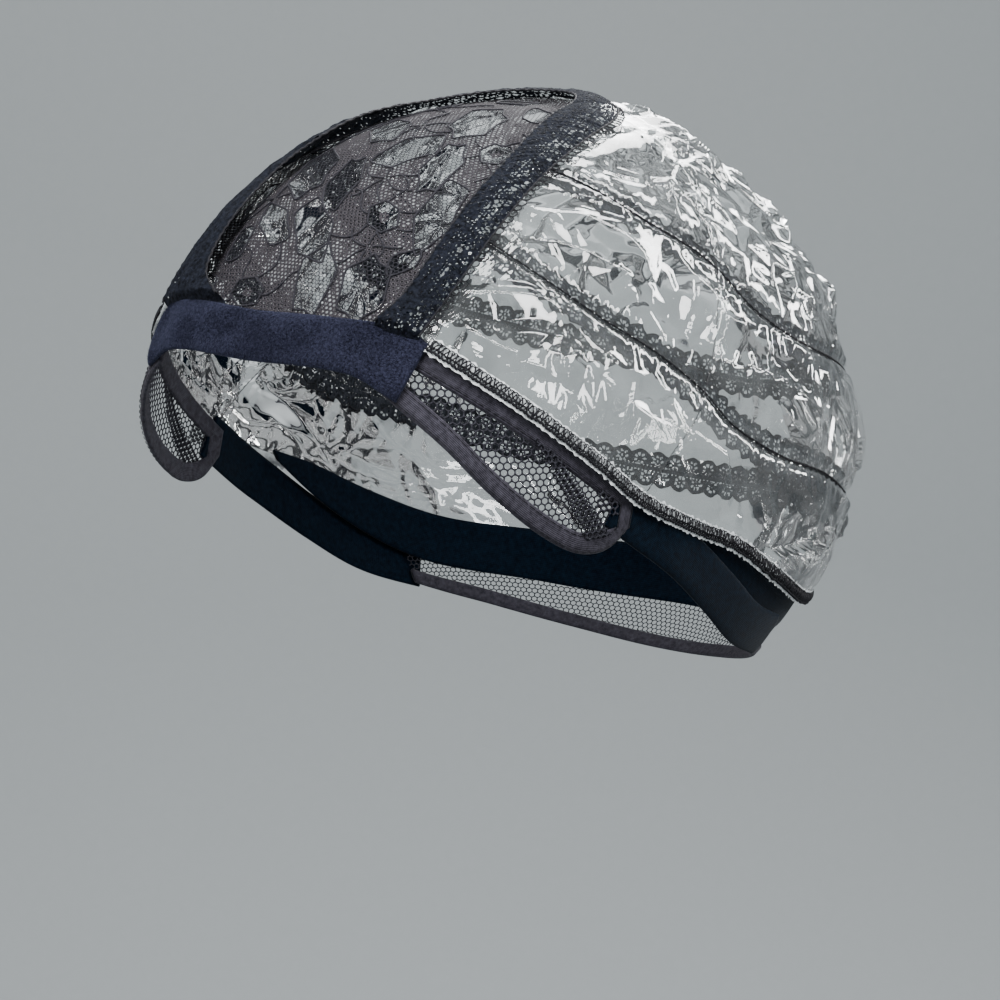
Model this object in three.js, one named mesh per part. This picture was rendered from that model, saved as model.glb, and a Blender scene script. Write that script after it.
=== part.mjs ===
import * as THREE from 'three';

// Wig cap in its worn form, millimetres, +Z up, the front band towards -Y.
// The origin is the top of the cap's hollow, on the inner face of the lace panel.

// Hollow of the cap, measured from its centre.
const HALF_WIDTH = 74.5;
const BACK_HALF_WIDTH = 76;
const FRONT_DEPTH = 100;
const BACK_DEPTH = 113;
const CROWN_HEIGHT = 98;
const LOWER_HEIGHT = 84;
const BACK_STARTS = 50;
const BACK_FULL = 140;
const FRONT_PLAN_POWER = 2.7;
const BACK_PLAN_POWER = 2.25;
const BACK_RISE_POWER = 1.88;

// Thickness of each cloth.
const LACE_THICK = 1;
const FILM_THICK = 1;
const ROW_THICK = 1;
const NET_THICK = 1;
const TRIM_THICK = 1.2;
const HEM_THICK = 1.1;
const BAND_THICK = 2;
const BINDING_THICK = 1.7;
const ELASTIC_THICK = 1.3;

// Widths of the narrow pieces and the clearances between layers.
const ROW_WIDTH = 10.5;
const HEM_WIDTH = 3.6;
const EAR_BINDING_WIDTH = 5.2;
const NAPE_BINDING_WIDTH = 4.4;
const STRAP_WIDTH = 12.5;
const PLEAT_WIDTH = 6.5;
const LAYER_GAP = 0.45;
const EDGE_GAP = 0.35;

// Relief of the gathered and crinkled pieces.
const ROW_RUFFLE = 0.5;
const ROW_SCALLOP = 9.2;
const TRIM_ARCH = 1.3;
const TRIM_GATHER = 0.7;
const FILM_PUFF = 2.2;
const FILM_FOLD = 3.2;
const CROWN_PUCKER = 3;
const SEAM_PUCKER = 1.4;
const TRIM_COVER = 9;

// Height of each layer's inner face above the hollow.
const ROW_LIFT = 0.3;
const FILM_LIFT = ROW_LIFT + ROW_THICK + ROW_RUFFLE + 1.8 * LAYER_GAP;
const TRIM_LIFT = FILM_LIFT + FILM_THICK + 1.3 * LAYER_GAP;
const HEM_LIFT = FILM_LIFT + FILM_THICK + LAYER_GAP;
const BAND_LIFT = LACE_THICK + LAYER_GAP;
const STRAP_LIFT = Math.max(ELASTIC_THICK, BINDING_THICK) + LAYER_GAP;

const DEGREE = Math.PI / 180;

// Lines on the form, one row per point: lon is degrees round from the front, lat is degrees up.
const BAND_TOP = [
  { lon: 0, lat: 34.3 },
  { lon: 8, lat: 34.3 },
  { lon: 16, lat: 34 },
  { lon: 23.4, lat: 33.5 },
  { lon: 30.5, lat: 31.6 },
];
const BAND_BOTTOM = [
  { lon: 0, lat: 26.9 },
  { lon: 8, lat: 26.9 },
  { lon: 15, lat: 26.6 },
  { lon: 21, lat: 25.6 },
  { lon: 26.2, lat: 23 },
];
const TRIM_INNER = [
  { lon: 23.6, lat: 33.6 },
  { lon: 27.2, lat: 37.2 },
  { lon: 31.5, lat: 44.5 },
  { lon: 37.8, lat: 53.8 },
  { lon: 49.8, lat: 64.2 },
  { lon: 86.7, lat: 75.8 },
  { lon: 133, lat: 76 },
  { lon: 162, lat: 74 },
  { lon: 180, lat: 73.4 },
];
const TRIM_OUTER = [
  { lon: 30.8, lat: 31.8 },
  { lon: 35.6, lat: 38.8 },
  { lon: 43.2, lat: 48.7 },
  { lon: 60.1, lat: 61.4 },
  { lon: 89, lat: 69 },
  { lon: 132, lat: 69.2 },
  { lon: 160, lat: 67.2 },
  { lon: 180, lat: 66.7 },
];
const HEM_LINE = [
  { lon: 31.4, lat: 30.8 },
  { lon: 38.9, lat: 26.6 },
  { lon: 47.9, lat: 21 },
  { lon: 59.3, lat: 12.3 },
  { lon: 67, lat: 5.6 },
  { lon: 78.9, lat: -1.3 },
  { lon: 93.6, lat: -8.4 },
  { lon: 109.1, lat: -17.4 },
  { lon: 126, lat: -24.4 },
  { lon: 150, lat: -27.2 },
  { lon: 180, lat: -28 },
];
const SEAM_LINE = [
  { lon: 67, lat: 5.6 },
  { lon: 75.6, lat: 12.4 },
  { lon: 83.4, lat: 17.4 },
  { lon: 89.6, lat: 24 },
  { lon: 99.4, lat: 34.6 },
  { lon: 106.4, lat: 41.5 },
  { lon: 115, lat: 52 },
  { lon: 124, lat: 61.5 },
  { lon: 133, lat: 69.8 },
];
const UPPER_ROW = [
  { lon: 59.4, lat: 65.4 },
  { lon: 64.8, lat: 64.1 },
  { lon: 78.6, lat: 60.2 },
  { lon: 91.4, lat: 53.6 },
  { lon: 103.4, lat: 45.9 },
  { lon: 109, lat: 39.6 },
  { lon: 113, lat: 32.6 },
  { lon: 123.4, lat: 23.3 },
  { lon: 138, lat: 14.6 },
  { lon: 154, lat: 6.8 },
  { lon: 180, lat: 1.4 },
];
const LOWER_ROW = [
  { lon: 40.4, lat: 48.6 },
  { lon: 44.1, lat: 46.9 },
  { lon: 53.2, lat: 42.5 },
  { lon: 65.4, lat: 36.3 },
  { lon: 77, lat: 30.6 },
  { lon: 88.4, lat: 22.1 },
  { lon: 95.4, lat: 14.4 },
  { lon: 109.6, lat: 5 },
  { lon: 124.8, lat: -1.6 },
  { lon: 141, lat: -8.6 },
  { lon: 160, lat: -12.8 },
  { lon: 180, lat: -14.2 },
];
const TAB_TOP = [
  { lon: 30.8, lat: 30.2 },
  { lon: 38.7, lat: 26.1 },
  { lon: 48, lat: 20.4 },
  { lon: 59.8, lat: 11.5 },
  { lon: 67.1, lat: 5.3 },
];
const TAB_BOTTOM = [
  { lon: 26.4, lat: 22.6 },
  { lon: 34.2, lat: 16.4 },
  { lon: 41.1, lat: 9.1 },
  { lon: 48.5, lat: 2.2 },
  { lon: 54.6, lat: -1.8 },
  { lon: 60.2, lat: -2.4 },
  { lon: 65.6, lat: 0.6 },
];
const STRAP_LINE = [
  { lon: 68, lat: 0.9 },
  { lon: 78.8, lat: -7.9 },
  { lon: 92, lat: -19 },
  { lon: 104.5, lat: -27.4 },
  { lon: 119.5, lat: -32.2 },
];
const NAPE_TOP = [
  { lon: 82, lat: -1.7 },
  { lon: 94, lat: -7.4 },
  { lon: 109, lat: -15.6 },
  { lon: 126, lat: -22.4 },
  { lon: 150, lat: -25.2 },
  { lon: 180, lat: -26 },
];
const NAPE_BOTTOM = [
  { lon: 83.2, lat: -4.6 },
  { lon: 94, lat: -15.5 },
  { lon: 106, lat: -24.6 },
  { lon: 120, lat: -31.2 },
  { lon: 148, lat: -34.8 },
  { lon: 180, lat: -35.6 },
];
const NAPE_EDGE = [
  { lon: 116, lat: -32.8 },
  { lon: 136, lat: -37.4 },
  { lon: 158, lat: -41 },
  { lon: 180, lat: -42.6 },
];

// Each soft sheet: faces along it and across it.
const MESH = {
  frontBand: { along: 26, across: 2 },
  lacePanel: { along: 13, across: 13 },
  crownTrim: { along: 62, across: 3 },
  filmSide: { along: 14, across: 14 },
  filmBack: { along: 34, across: 14 },
  filmHem: { along: 74, across: 1 },
  earNet: { along: 10, across: 3 },
  earBinding: { along: 36, across: 1 },
  earPleat: { along: 1, across: 4 },
  strap: { along: 12, across: 2 },
  napeBand: { along: 26, across: 2 },
  napeNet: { along: 14, across: 2 },
  napeBinding: { along: 20, across: 1 },
};

function direction(lon, lat) {
  const level = Math.cos(lat * DEGREE);
  const x = level * Math.sin(lon * DEGREE);
  const y = -level * Math.cos(lon * DEGREE);
  return new THREE.Vector3(x, y, Math.sin(lat * DEGREE));
}

function longitude(dir) {
  return Math.atan2(dir.x, -dir.y) / DEGREE;
}

function latitude(dir) {
  return Math.asin(THREE.MathUtils.clamp(dir.z / dir.length(), -1, 1)) / DEGREE;
}

// Distance from the hollow's centre to its surface along a direction.
function reach(dir) {
  const back = THREE.MathUtils.smoothstep(Math.abs(longitude(dir)), BACK_STARTS, BACK_FULL);
  const width = THREE.MathUtils.lerp(HALF_WIDTH, BACK_HALF_WIDTH, back);
  const depth = dir.y > 0 ? BACK_DEPTH : FRONT_DEPTH;
  const height = dir.z > 0 ? CROWN_HEIGHT : LOWER_HEIGHT;
  const plan = THREE.MathUtils.lerp(FRONT_PLAN_POWER, BACK_PLAN_POWER, back);
  const rise = dir.z > 0 ? THREE.MathUtils.lerp(2, BACK_RISE_POWER, back) : 2;
  const across = Math.abs(dir.x / width) ** plan;
  const along = Math.abs(dir.y / depth) ** plan;
  const flat = (across + along) ** (rise / plan);
  return (flat + Math.abs(dir.z / height) ** rise) ** (-1 / rise);
}

function clearance(point) {
  return point.length() - reach(point.clone().normalize());
}

function normalAt(point) {
  const step = 0.5;
  const slope = (axis) => {
    const ahead = clearance(point.clone().addScaledVector(axis, step));
    return ahead - clearance(point.clone().addScaledVector(axis, -step));
  };
  const x = slope(new THREE.Vector3(1, 0, 0));
  const y = slope(new THREE.Vector3(0, 1, 0));
  const z = slope(new THREE.Vector3(0, 0, 1));
  return new THREE.Vector3(x, y, z).normalize();
}

function onForm(dir, lift) {
  const unit = dir.clone().normalize();
  const point = unit.multiplyScalar(reach(unit));
  return point.addScaledVector(normalAt(point), lift);
}

function mirrored(table) {
  const near = table.filter((row) => Math.abs(row.lon) > 1e-6 && row.lon < 180);
  const far = near.map((row) => ({ lon: -row.lon, lat: row.lat }));
  const startsAtFront = table[0].lon === 0;
  return startsAtFront ? [...far.reverse(), table[0], ...near] : [...table, ...far.reverse()];
}

// A smooth line on the form through a table's points; runs evenly in millimetres for t from 0 to 1.
function line(table) {
  const points = table.map((row) => onForm(direction(row.lon, row.lat), 0));
  const curve = new THREE.CatmullRomCurve3(points, false, 'centripetal');
  curve.arcLengthDivisions = 400;
  return {
    length: curve.getLength(),
    at: (t) => curve.getPointAt(THREE.MathUtils.clamp(t, 0, 1)).normalize(),
  };
}

function part(path, from, to) {
  return (t) => path.at(THREE.MathUtils.lerp(from, to, t));
}

function between(a, b, share) {
  return a.clone().lerp(b, share).normalize();
}

// Where a line comes nearest to a direction, as t from 0 to 1.
function nearest(path, dir) {
  const tries = 400;
  const shares = Array.from({ length: tries + 1 }, (unused, i) => i / tries);
  const far = (t) => path.at(t).distanceTo(dir);
  return shares.reduce((best, t) => (far(t) < far(best) ? t : best), 0);
}

// Height of a line, in degrees up, at a given direction round the form.
function latitudeOf(table, lon) {
  const round = THREE.MathUtils.clamp(Math.abs(lon), table[0].lon, 180);
  const next = Math.max(1, table.findIndex((row) => row.lon >= round));
  const low = table[next - 1];
  const high = table[next];
  return THREE.MathUtils.mapLinear(round, low.lon, high.lon, low.lat, high.lat);
}

// A patch of directions filled in between four edge lines.
function patch(bottom, top, left, right) {
  return (u, v) => {
    const sum = new THREE.Vector3();
    sum.addScaledVector(bottom(u), 1 - v).addScaledVector(top(u), v);
    sum.addScaledVector(left(v), 1 - u).addScaledVector(right(v), u);
    sum.addScaledVector(bottom(0), -(1 - u) * (1 - v)).addScaledVector(bottom(1), -u * (1 - v));
    sum.addScaledVector(top(0), -(1 - u) * v).addScaledVector(top(1), -u * v);
    return sum.normalize();
  };
}

function edge(from, to) {
  return (t) => between(from, to, t);
}

// Strip of directions that follows a line at a width given in millimetres.
function strip(at, width) {
  return (u, v) => {
    const step = 0.002;
    const centre = onForm(at(u), 0);
    const ahead = onForm(at(Math.min(1, u + step)), 0);
    const travel = ahead.sub(onForm(at(Math.max(0, u - step)), 0));
    const side = normalAt(centre).cross(travel).normalize();
    return centre.addScaledVector(side, (v - 0.5) * width(u)).normalize();
  };
}

// A closed sheet of even thickness over a patch: outer face, inner face and the four rims.
function sheet(place, lift, thick, mesh, ring = false) {
  const columns = mesh.along;
  const rows = mesh.across;
  const width = rows + 1;
  const positions = [];
  const faces = [];
  const steps = ring ? columns : columns + 1;
  const count = steps * width;
  for (const layer of [thick, 0]) {
    for (let i = 0; i < steps; i += 1) {
      for (let j = 0; j <= rows; j += 1) {
        const u = i / columns;
        const v = j / rows;
        const dir = place(u, v);
        const point = onForm(dir, lift(u, v, dir) + layer);
        positions.push(point.x, point.y, point.z - CROWN_HEIGHT);
      }
    }
  }
  const quarter = Math.floor(columns / 4);
  const corner = place(quarter / columns, 0);
  const alongStep = place((quarter + 1) / columns, 0).sub(corner);
  const acrossStep = place(quarter / columns, 1 / rows).sub(corner);
  const turned = alongStep.cross(acrossStep).dot(corner) < 0;
  const index = (i, j, side) => side * count + (i % steps) * width + j;
  const quad = (a, b, c, d) => faces.push(...(turned ? [a, c, b, a, d, c] : [a, b, c, a, c, d]));
  for (let i = 0; i < columns; i += 1) {
    for (let j = 0; j < rows; j += 1) {
      quad(index(i, j, 0), index(i + 1, j, 0), index(i + 1, j + 1, 0), index(i, j + 1, 0));
      quad(index(i, j, 1), index(i, j + 1, 1), index(i + 1, j + 1, 1), index(i + 1, j, 1));
    }
    quad(index(i, 0, 1), index(i + 1, 0, 1), index(i + 1, 0, 0), index(i, 0, 0));
    quad(index(i, rows, 0), index(i + 1, rows, 0), index(i + 1, rows, 1), index(i, rows, 1));
  }
  if (!ring) {
    for (let j = 0; j < rows; j += 1) {
      quad(index(0, j, 0), index(0, j + 1, 0), index(0, j + 1, 1), index(0, j, 1));
      const end = columns;
      quad(index(end, j, 1), index(end, j + 1, 1), index(end, j + 1, 0), index(end, j, 0));
    }
  }
  const geometry = new THREE.BufferGeometry();
  geometry.setAttribute('position', new THREE.Float32BufferAttribute(positions, 3));
  geometry.setIndex(faces);
  return geometry;
}

function otherSide(geometry) {
  const copy = geometry.clone();
  copy.scale(-1, 1, 1);
  const faces = geometry.getIndex().array;
  const turned = [];
  for (let i = 0; i < faces.length; i += 3) {
    turned.push(faces[i], faces[i + 2], faces[i + 1]);
  }
  copy.setIndex(turned);
  return copy;
}

const COLOURS = {
  velvet: { color: 0x0d1022, roughness: 0.95 },
  lace: { color: 0x17161c, roughness: 0.85 },
  stretchLace: { color: 0x101014, roughness: 0.8 },
  film: { color: 0xdfe8e6, roughness: 0.12, transparent: true, opacity: 0.35 },
  thread: { color: 0x141418, roughness: 0.7 },
  net: { color: 0x1b1a20, roughness: 0.8 },
  satin: { color: 0x1e1d26, roughness: 0.5 },
  elastic: { color: 0x0a1420, roughness: 0.8 },
};

const cap = new THREE.Group();
cap.name = 'wig_cap';

function add(name, geometry, colour) {
  geometry.computeVertexNormals();
  const mesh = new THREE.Mesh(geometry, new THREE.MeshStandardMaterial(COLOURS[colour]));
  mesh.name = name;
  cap.add(mesh);
}

const bandTop = line(mirrored(BAND_TOP));
const bandBottom = line(mirrored(BAND_BOTTOM));
const trimInner = line(mirrored(TRIM_INNER));
const trimOuter = line(mirrored(TRIM_OUTER));
const hemLine = line(mirrored(HEM_LINE));
const napeTop = line(mirrored(NAPE_TOP));
const napeBottom = line(mirrored(NAPE_BOTTOM));
const seamLine = line(SEAM_LINE);
const tabTop = line(TAB_TOP);
const tabBottom = line(TAB_BOTTOM);
const strapLine = line(STRAP_LINE);

// Front band of velvet along the hairline.
const bandPatch = (u, v) => between(bandBottom.at(u), bandTop.at(u), v);
const bandLift = () => BAND_LIFT;
add('front_band', sheet(bandPatch, bandLift, BAND_THICK, MESH.frontBand), 'velvet');

// Trim in a U over the crown: arched across, with small gathers along it.
const trimPatch = (u, v) => between(trimOuter.at(u), trimInner.at(u), v);
const trimLift = (u, v) => {
  const arch = TRIM_ARCH * Math.sin(Math.PI * v);
  const gather = TRIM_GATHER * (0.5 + 0.5 * Math.cos(MESH.crownTrim.along * Math.PI * u));
  return TRIM_LIFT + arch + gather * (1 - Math.abs(2 * v - 1));
};
add('crown_trim', sheet(trimPatch, trimLift, TRIM_THICK, MESH.crownTrim), 'stretchLace');

// Lace panel: its front edge lies under the band and its other edges under the trim.
const PANEL_SHARE = 0.72;
const PANEL_CORNER = 0.3;
const PANEL_FRONT_INSET = 0.13;
const PANEL_UNDER_BAND = 0.62;
const PANEL_TURN = 0.12;
const panelEdge = (t) => trimPatch(t, PANEL_SHARE);
const panelSide = (t) => panelEdge(PANEL_CORNER * t);
const panelFar = (t) => panelEdge(1 - PANEL_CORNER * t);
const panelBack = (t) => panelEdge(THREE.MathUtils.lerp(PANEL_CORNER, 1 - PANEL_CORNER, t));
const panelFront = (t) => {
  const along = THREE.MathUtils.lerp(1 - PANEL_FRONT_INSET, PANEL_FRONT_INSET, t);
  return bandPatch(along, PANEL_UNDER_BAND);
};
const panelRise = (corner, side) => (t) => {
  const rise = THREE.MathUtils.smoothstep(t, 0, PANEL_TURN);
  return between(corner, side(t), rise === 0 ? 0 : Math.max(rise, t));
};
const panelNear = panelRise(panelFront(0), panelSide);
const panelOther = panelRise(panelFront(1), panelFar);
const panelPatch = patch(panelFront, panelBack, panelNear, panelOther);
const panelLift = (u, v) => {
  const toSide = Math.min(u, 1 - u);
  const sides = 1 - THREE.MathUtils.smoothstep(toSide, 0, PANEL_TURN);
  const back = THREE.MathUtils.smoothstep(v, 1 - PANEL_TURN, 1);
  const front = THREE.MathUtils.smoothstep(v, 0.05, 0.2);
  return FILM_LIFT * Math.max(sides * front, back);
};
add('lace_panel', sheet(panelPatch, panelLift, LACE_THICK, MESH.lacePanel), 'lace');

// Clear film: two side panels and one back panel, joined at the side seams under the trim.
const FILM_SHARE = 0.42;
const filmTop = (t) => trimPatch(t, FILM_SHARE);
const seamEnd = (row) => direction(row.lon, row.lat);
const seamTop = nearest({ at: filmTop }, seamEnd(SEAM_LINE[SEAM_LINE.length - 1]));
const hemSeam = nearest(hemLine, seamEnd(SEAM_LINE[0]));
const hemBackShare = 1 - hemSeam;
const seamShift = (EDGE_GAP / HALF_WIDTH) * 0.75;
const seamAt = (v, toBack) => {
  const dir = seamLine.at(v);
  const ahead = seamLine.at(Math.min(1, v + 0.01));
  const travel = ahead.sub(seamLine.at(Math.max(0, v - 0.01)));
  const side = dir.clone().cross(travel).normalize();
  return dir.addScaledVector(side, toBack ? -seamShift : seamShift).normalize();
};

const apart = (a, b) => onForm(a, 0).distanceTo(onForm(b, 0));

// Folds of the film, calm along the rows, the hem and the trim.
function filmLift(dir, fromHem, fromTrim, seam) {
  const lon = longitude(dir);
  const lat = latitude(dir);
  const calm = (gap) => 1 - Math.exp(-((gap / 5.5) ** 2));
  const upper = calm(lat - latitudeOf(UPPER_ROW, lon));
  const lower = calm(lat - latitudeOf(LOWER_ROW, lon));
  const low = THREE.MathUtils.smoothstep(fromHem, 2.4 * HEM_WIDTH, 5 * HEM_WIDTH);
  const ends = low * THREE.MathUtils.smoothstep(fromTrim, TRIM_COVER, 2.4 * TRIM_COVER);
  const wave = Math.sin((Math.abs(lon) / 19 + lat / 31) * Math.PI * 2 - 1.2);
  const swell = Math.sin((Math.abs(lon) / 41 - lat / 23) * Math.PI * 2 + 0.6);
  const folds = FILM_FOLD * (0.25 + 0.45 * wave + 0.3 * swell);
  const free = Math.max(0, FILM_PUFF * 0.5 + folds) * upper * lower * ends;
  const high = THREE.MathUtils.smoothstep(Math.abs(lon), 96, 140);
  const crown = CROWN_PUCKER * high * Math.exp(-(((lat - 57) / 8) ** 2)) * ends;
  return FILM_LIFT + free + crown + SEAM_PUCKER * seam * ends;
}

const sideBottom = part(hemLine, 0, hemSeam);
const sideTop = (t) => filmTop(0.006 + (seamTop - 0.006) * t);
const sideSeam = (v) => seamAt(v, false);
const sideFront = edge(sideBottom(0), sideTop(0));
const topOfSide = (t) => between(sideTop(t), sideSeam(1), t ** 6);
const bottomOfSide = (t) => between(sideBottom(t), sideSeam(0), t ** 6);
const sidePatch = patch(bottomOfSide, topOfSide, sideFront, sideSeam);
const filmOver = (place, seam) => (u, v, dir) => {
  return filmLift(dir, apart(dir, place(u, 0)), apart(dir, place(u, 1)), seam(u));
};
const sideLift = filmOver(sidePatch, (u) => u ** 8);
const sideFilm = sheet(sidePatch, sideLift, FILM_THICK, MESH.filmSide);
add('film_side_left', sideFilm, 'film');
add('film_side_right', otherSide(sideFilm), 'film');

const mirrorX = (dir) => new THREE.Vector3(-dir.x, dir.y, dir.z);
const backNear = (v) => seamAt(v, true);
const backFar = (v) => mirrorX(backNear(v));
const backEnd = (t) => Math.max(t, 1 - t) ** 12;
const backHem = part(hemLine, hemSeam, hemBackShare);
const backCrown = (t) => filmTop(THREE.MathUtils.lerp(seamTop, 1 - seamTop, t));
const nearOrFar = (t, v) => (t < 0.5 ? backNear(v) : backFar(v));
const backBottom = (t) => between(backHem(t), nearOrFar(t, 0), backEnd(t));
const backTop = (t) => between(backCrown(t), nearOrFar(t, 1), backEnd(t));
const backPatch = patch(backBottom, backTop, backNear, backFar);
const backLift = filmOver(backPatch, (u) => Math.max(u, 1 - u) ** 16);
add('film_back', sheet(backPatch, backLift, FILM_THICK, MESH.filmBack), 'film');

// Gathered lace rows under the film, stitched down along the middle, with scalloped edges.
function laceRow(table) {
  const path = line(mirrored(table));
  const scallops = Math.round(path.length / ROW_SCALLOP);
  const mesh = { along: 2 * scallops, across: 2 };
  const peak = (u) => Math.sin(Math.PI * scallops * u) ** 2;
  const width = (u) => ROW_WIDTH * (0.74 + 0.26 * peak(u));
  const ruffle = (u, v) => ROW_LIFT + ROW_RUFFLE * Math.abs(2 * v - 1) * peak(u);
  return sheet(strip(path.at, width), ruffle, ROW_THICK, mesh);
}
add('lace_row_upper', laceRow(UPPER_ROW), 'stretchLace');
add('lace_row_lower', laceRow(LOWER_ROW), 'stretchLace');

// Overlocked hem round the lower edge of the film.
const hemStrip = strip(part(hemLine, 0.004, 0.996), () => HEM_WIDTH);
const hemLift = () => HEM_LIFT;
add('film_hem', sheet(hemStrip, hemLift, HEM_THICK, MESH.filmHem), 'thread');

// Ear tabs: net in a bound edge, with a doubled strip of net across it.
const tabInset = (u, inset) => {
  const upper = tabTop.at(u);
  const lower = tabBottom.at(u);
  const height = onForm(upper, 0).distanceTo(onForm(lower, 0));
  const share = Math.min(0.42, inset / height);
  return [between(upper, lower, share), between(lower, upper, share)];
};
const FRONT_SHARE = 0.09;
const REAR_SHARE = 0.9;
const ringTurn = (u) => {
  const half = MESH.earBinding.along / 2;
  const step = Math.round(u * MESH.earBinding.along);
  const onTop = step < half;
  const share = onTop ? step / (half - 1) : (MESH.earBinding.along - 1 - step) / (half - 1);
  return { onTop, share };
};
const bindingRing = (u, v) => {
  const { onTop, share } = ringTurn(u);
  const outer = onTop ? tabTop.at(share) : tabBottom.at(share);
  const shares = THREE.MathUtils.lerp(FRONT_SHARE, REAR_SHARE, share);
  const inner = tabInset(shares, EAR_BINDING_WIDTH)[onTop ? 0 : 1];
  return between(outer, inner, v);
};
const bindingLift = () => 0.1;
const earBinding = sheet(bindingRing, bindingLift, BINDING_THICK, MESH.earBinding, true);
add('ear_binding_left', earBinding, 'satin');
add('ear_binding_right', otherSide(earBinding), 'satin');

const netInset = EAR_BINDING_WIDTH + EDGE_GAP;
const netPatch = (u, v) => {
  const share = THREE.MathUtils.lerp(FRONT_SHARE + 0.008, REAR_SHARE - 0.012, u);
  const [upper, lower] = tabInset(share, netInset);
  return between(lower, upper, v);
};
const netLift = () => 0.4;
const earNet = sheet(netPatch, netLift, NET_THICK, MESH.earNet);
add('ear_net_left', earNet, 'net');
add('ear_net_right', otherSide(earNet), 'net');

const pleatFoot = nearest(tabBottom, direction(57.5, -2.8));
const pleatHead = nearest(tabTop, direction(51, 19.3));
const pleatPatch = (u, v) => {
  const slide = (u - 0.5) * (PLEAT_WIDTH / tabTop.length);
  const head = tabInset(pleatHead + slide, netInset)[0];
  const foot = tabInset(pleatFoot + slide, netInset)[1];
  return between(foot, head, v);
};
const pleatLift = () => 0.4 + NET_THICK + 0.3;
const earPleat = sheet(pleatPatch, pleatLift, NET_THICK, MESH.earPleat);
add('ear_pleat_left', earPleat, 'net');
add('ear_pleat_right', otherSide(earPleat), 'net');

// Elastic band round the nape, tucked under the film's hem.
const napePatch = (u, v) => between(napeBottom.at(u), napeTop.at(u), v);
const napeLift = () => 0;
add('nape_band', sheet(napePatch, napeLift, ELASTIC_THICK, MESH.napeBand), 'elastic');

// Straps from the ear tabs to the corners of the nape band.
const strapPatch = strip(strapLine.at, () => STRAP_WIDTH);
const strapLift = (u) => THREE.MathUtils.lerp(0.3, STRAP_LIFT, THREE.MathUtils.smoothstep(u, 0.05, 0.3));
const strap = sheet(strapPatch, strapLift, ELASTIC_THICK, MESH.strap);
add('strap_left', strap, 'elastic');
add('strap_right', otherSide(strap), 'elastic');

// Net at the middle of the nape, hung from the nape band, with a bound lower edge.
const napeEdge = line(mirrored(NAPE_EDGE));
const cornerStart = nearest(napeBottom, direction(115.5, -29.2));
const napeSeat = (t) => napeBottom.at(THREE.MathUtils.lerp(cornerStart, 1 - cornerStart, t));
const gapShare = (from, to, gap) => gap / onForm(from, 0).distanceTo(onForm(to, 0));
const napeNetPatch = (u, v) => {
  const top = napeSeat(u);
  const bottom = napeEdge.at(u);
  const upper = between(top, bottom, Math.min(0.4, gapShare(top, bottom, EDGE_GAP)));
  return between(bottom, upper, v);
};
add('nape_net', sheet(napeNetPatch, () => 0.2, NET_THICK, MESH.napeNet), 'net');
const napeBindingPatch = (u, v) => {
  const top = napeSeat(u);
  const bottom = napeEdge.at(u);
  const height = onForm(top, 0).distanceTo(onForm(bottom, 0));
  const start = -EDGE_GAP / height;
  return bottom.clone().lerp(top, start - (1 - v) * (NAPE_BINDING_WIDTH / height)).normalize();
};
const napeBinding = sheet(napeBindingPatch, () => 0, BINDING_THICK, MESH.napeBinding);
add('nape_binding', napeBinding, 'satin');

export default cap;
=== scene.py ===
import math

import bpy
import numpy as np
from mathutils import Matrix


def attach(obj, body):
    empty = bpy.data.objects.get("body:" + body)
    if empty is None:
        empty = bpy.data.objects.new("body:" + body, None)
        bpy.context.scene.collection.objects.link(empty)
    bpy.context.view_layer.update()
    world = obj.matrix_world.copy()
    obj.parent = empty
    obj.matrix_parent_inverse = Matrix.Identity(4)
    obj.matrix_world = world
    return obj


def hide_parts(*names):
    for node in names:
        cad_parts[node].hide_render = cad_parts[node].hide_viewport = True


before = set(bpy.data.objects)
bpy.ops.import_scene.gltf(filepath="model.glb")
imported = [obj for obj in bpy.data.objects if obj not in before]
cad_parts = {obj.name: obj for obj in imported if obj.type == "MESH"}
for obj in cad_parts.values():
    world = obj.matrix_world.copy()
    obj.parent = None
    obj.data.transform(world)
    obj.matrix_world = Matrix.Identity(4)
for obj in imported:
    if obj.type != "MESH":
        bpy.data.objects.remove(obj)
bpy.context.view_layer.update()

# Wig cap in its worn form. Sizes are in millimetres, and the meshes are written in metres.
# The form's centre is CROWN_HEIGHT below the origin, which is the top of the cap's hollow.
MM = 0.001

# Hollow of the cap, measured from its centre.
HALF_WIDTH = 74.5
BACK_HALF_WIDTH = 76
FRONT_DEPTH = 100
BACK_DEPTH = 113
CROWN_HEIGHT = 98
LOWER_HEIGHT = 84
BACK_STARTS = 50
BACK_FULL = 140
FRONT_PLAN_POWER = 2.7
BACK_PLAN_POWER = 2.25
BACK_RISE_POWER = 1.88

# Thickness of each cloth, widths of the narrow pieces and clearances between layers.
LACE_THICK = 1
FILM_THICK = 1
ROW_THICK = 1
TRIM_THICK = 1.2
BAND_THICK = 2
BINDING_THICK = 1.7
ELASTIC_THICK = 1.3
ROW_WIDTH = 10.5
HEM_WIDTH = 3.6
EAR_BINDING_WIDTH = 5.2
NAPE_BINDING_WIDTH = 4.4
STRAP_WIDTH = 12.5
PLEAT_WIDTH = 6.5
LAYER_GAP = 0.45
ROW_LIFT = 0.3
ROW_RUFFLE = 0.5
FILM_LIFT = ROW_LIFT + ROW_THICK + ROW_RUFFLE + 1.8 * LAYER_GAP
TRIM_LIFT = FILM_LIFT + FILM_THICK + 1.3 * LAYER_GAP
HEM_LIFT = FILM_LIFT + FILM_THICK + LAYER_GAP
BAND_LIFT = LACE_THICK + LAYER_GAP
STRAP_LIFT = BINDING_THICK + LAYER_GAP
TRIM_ARCH = 1.3

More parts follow.
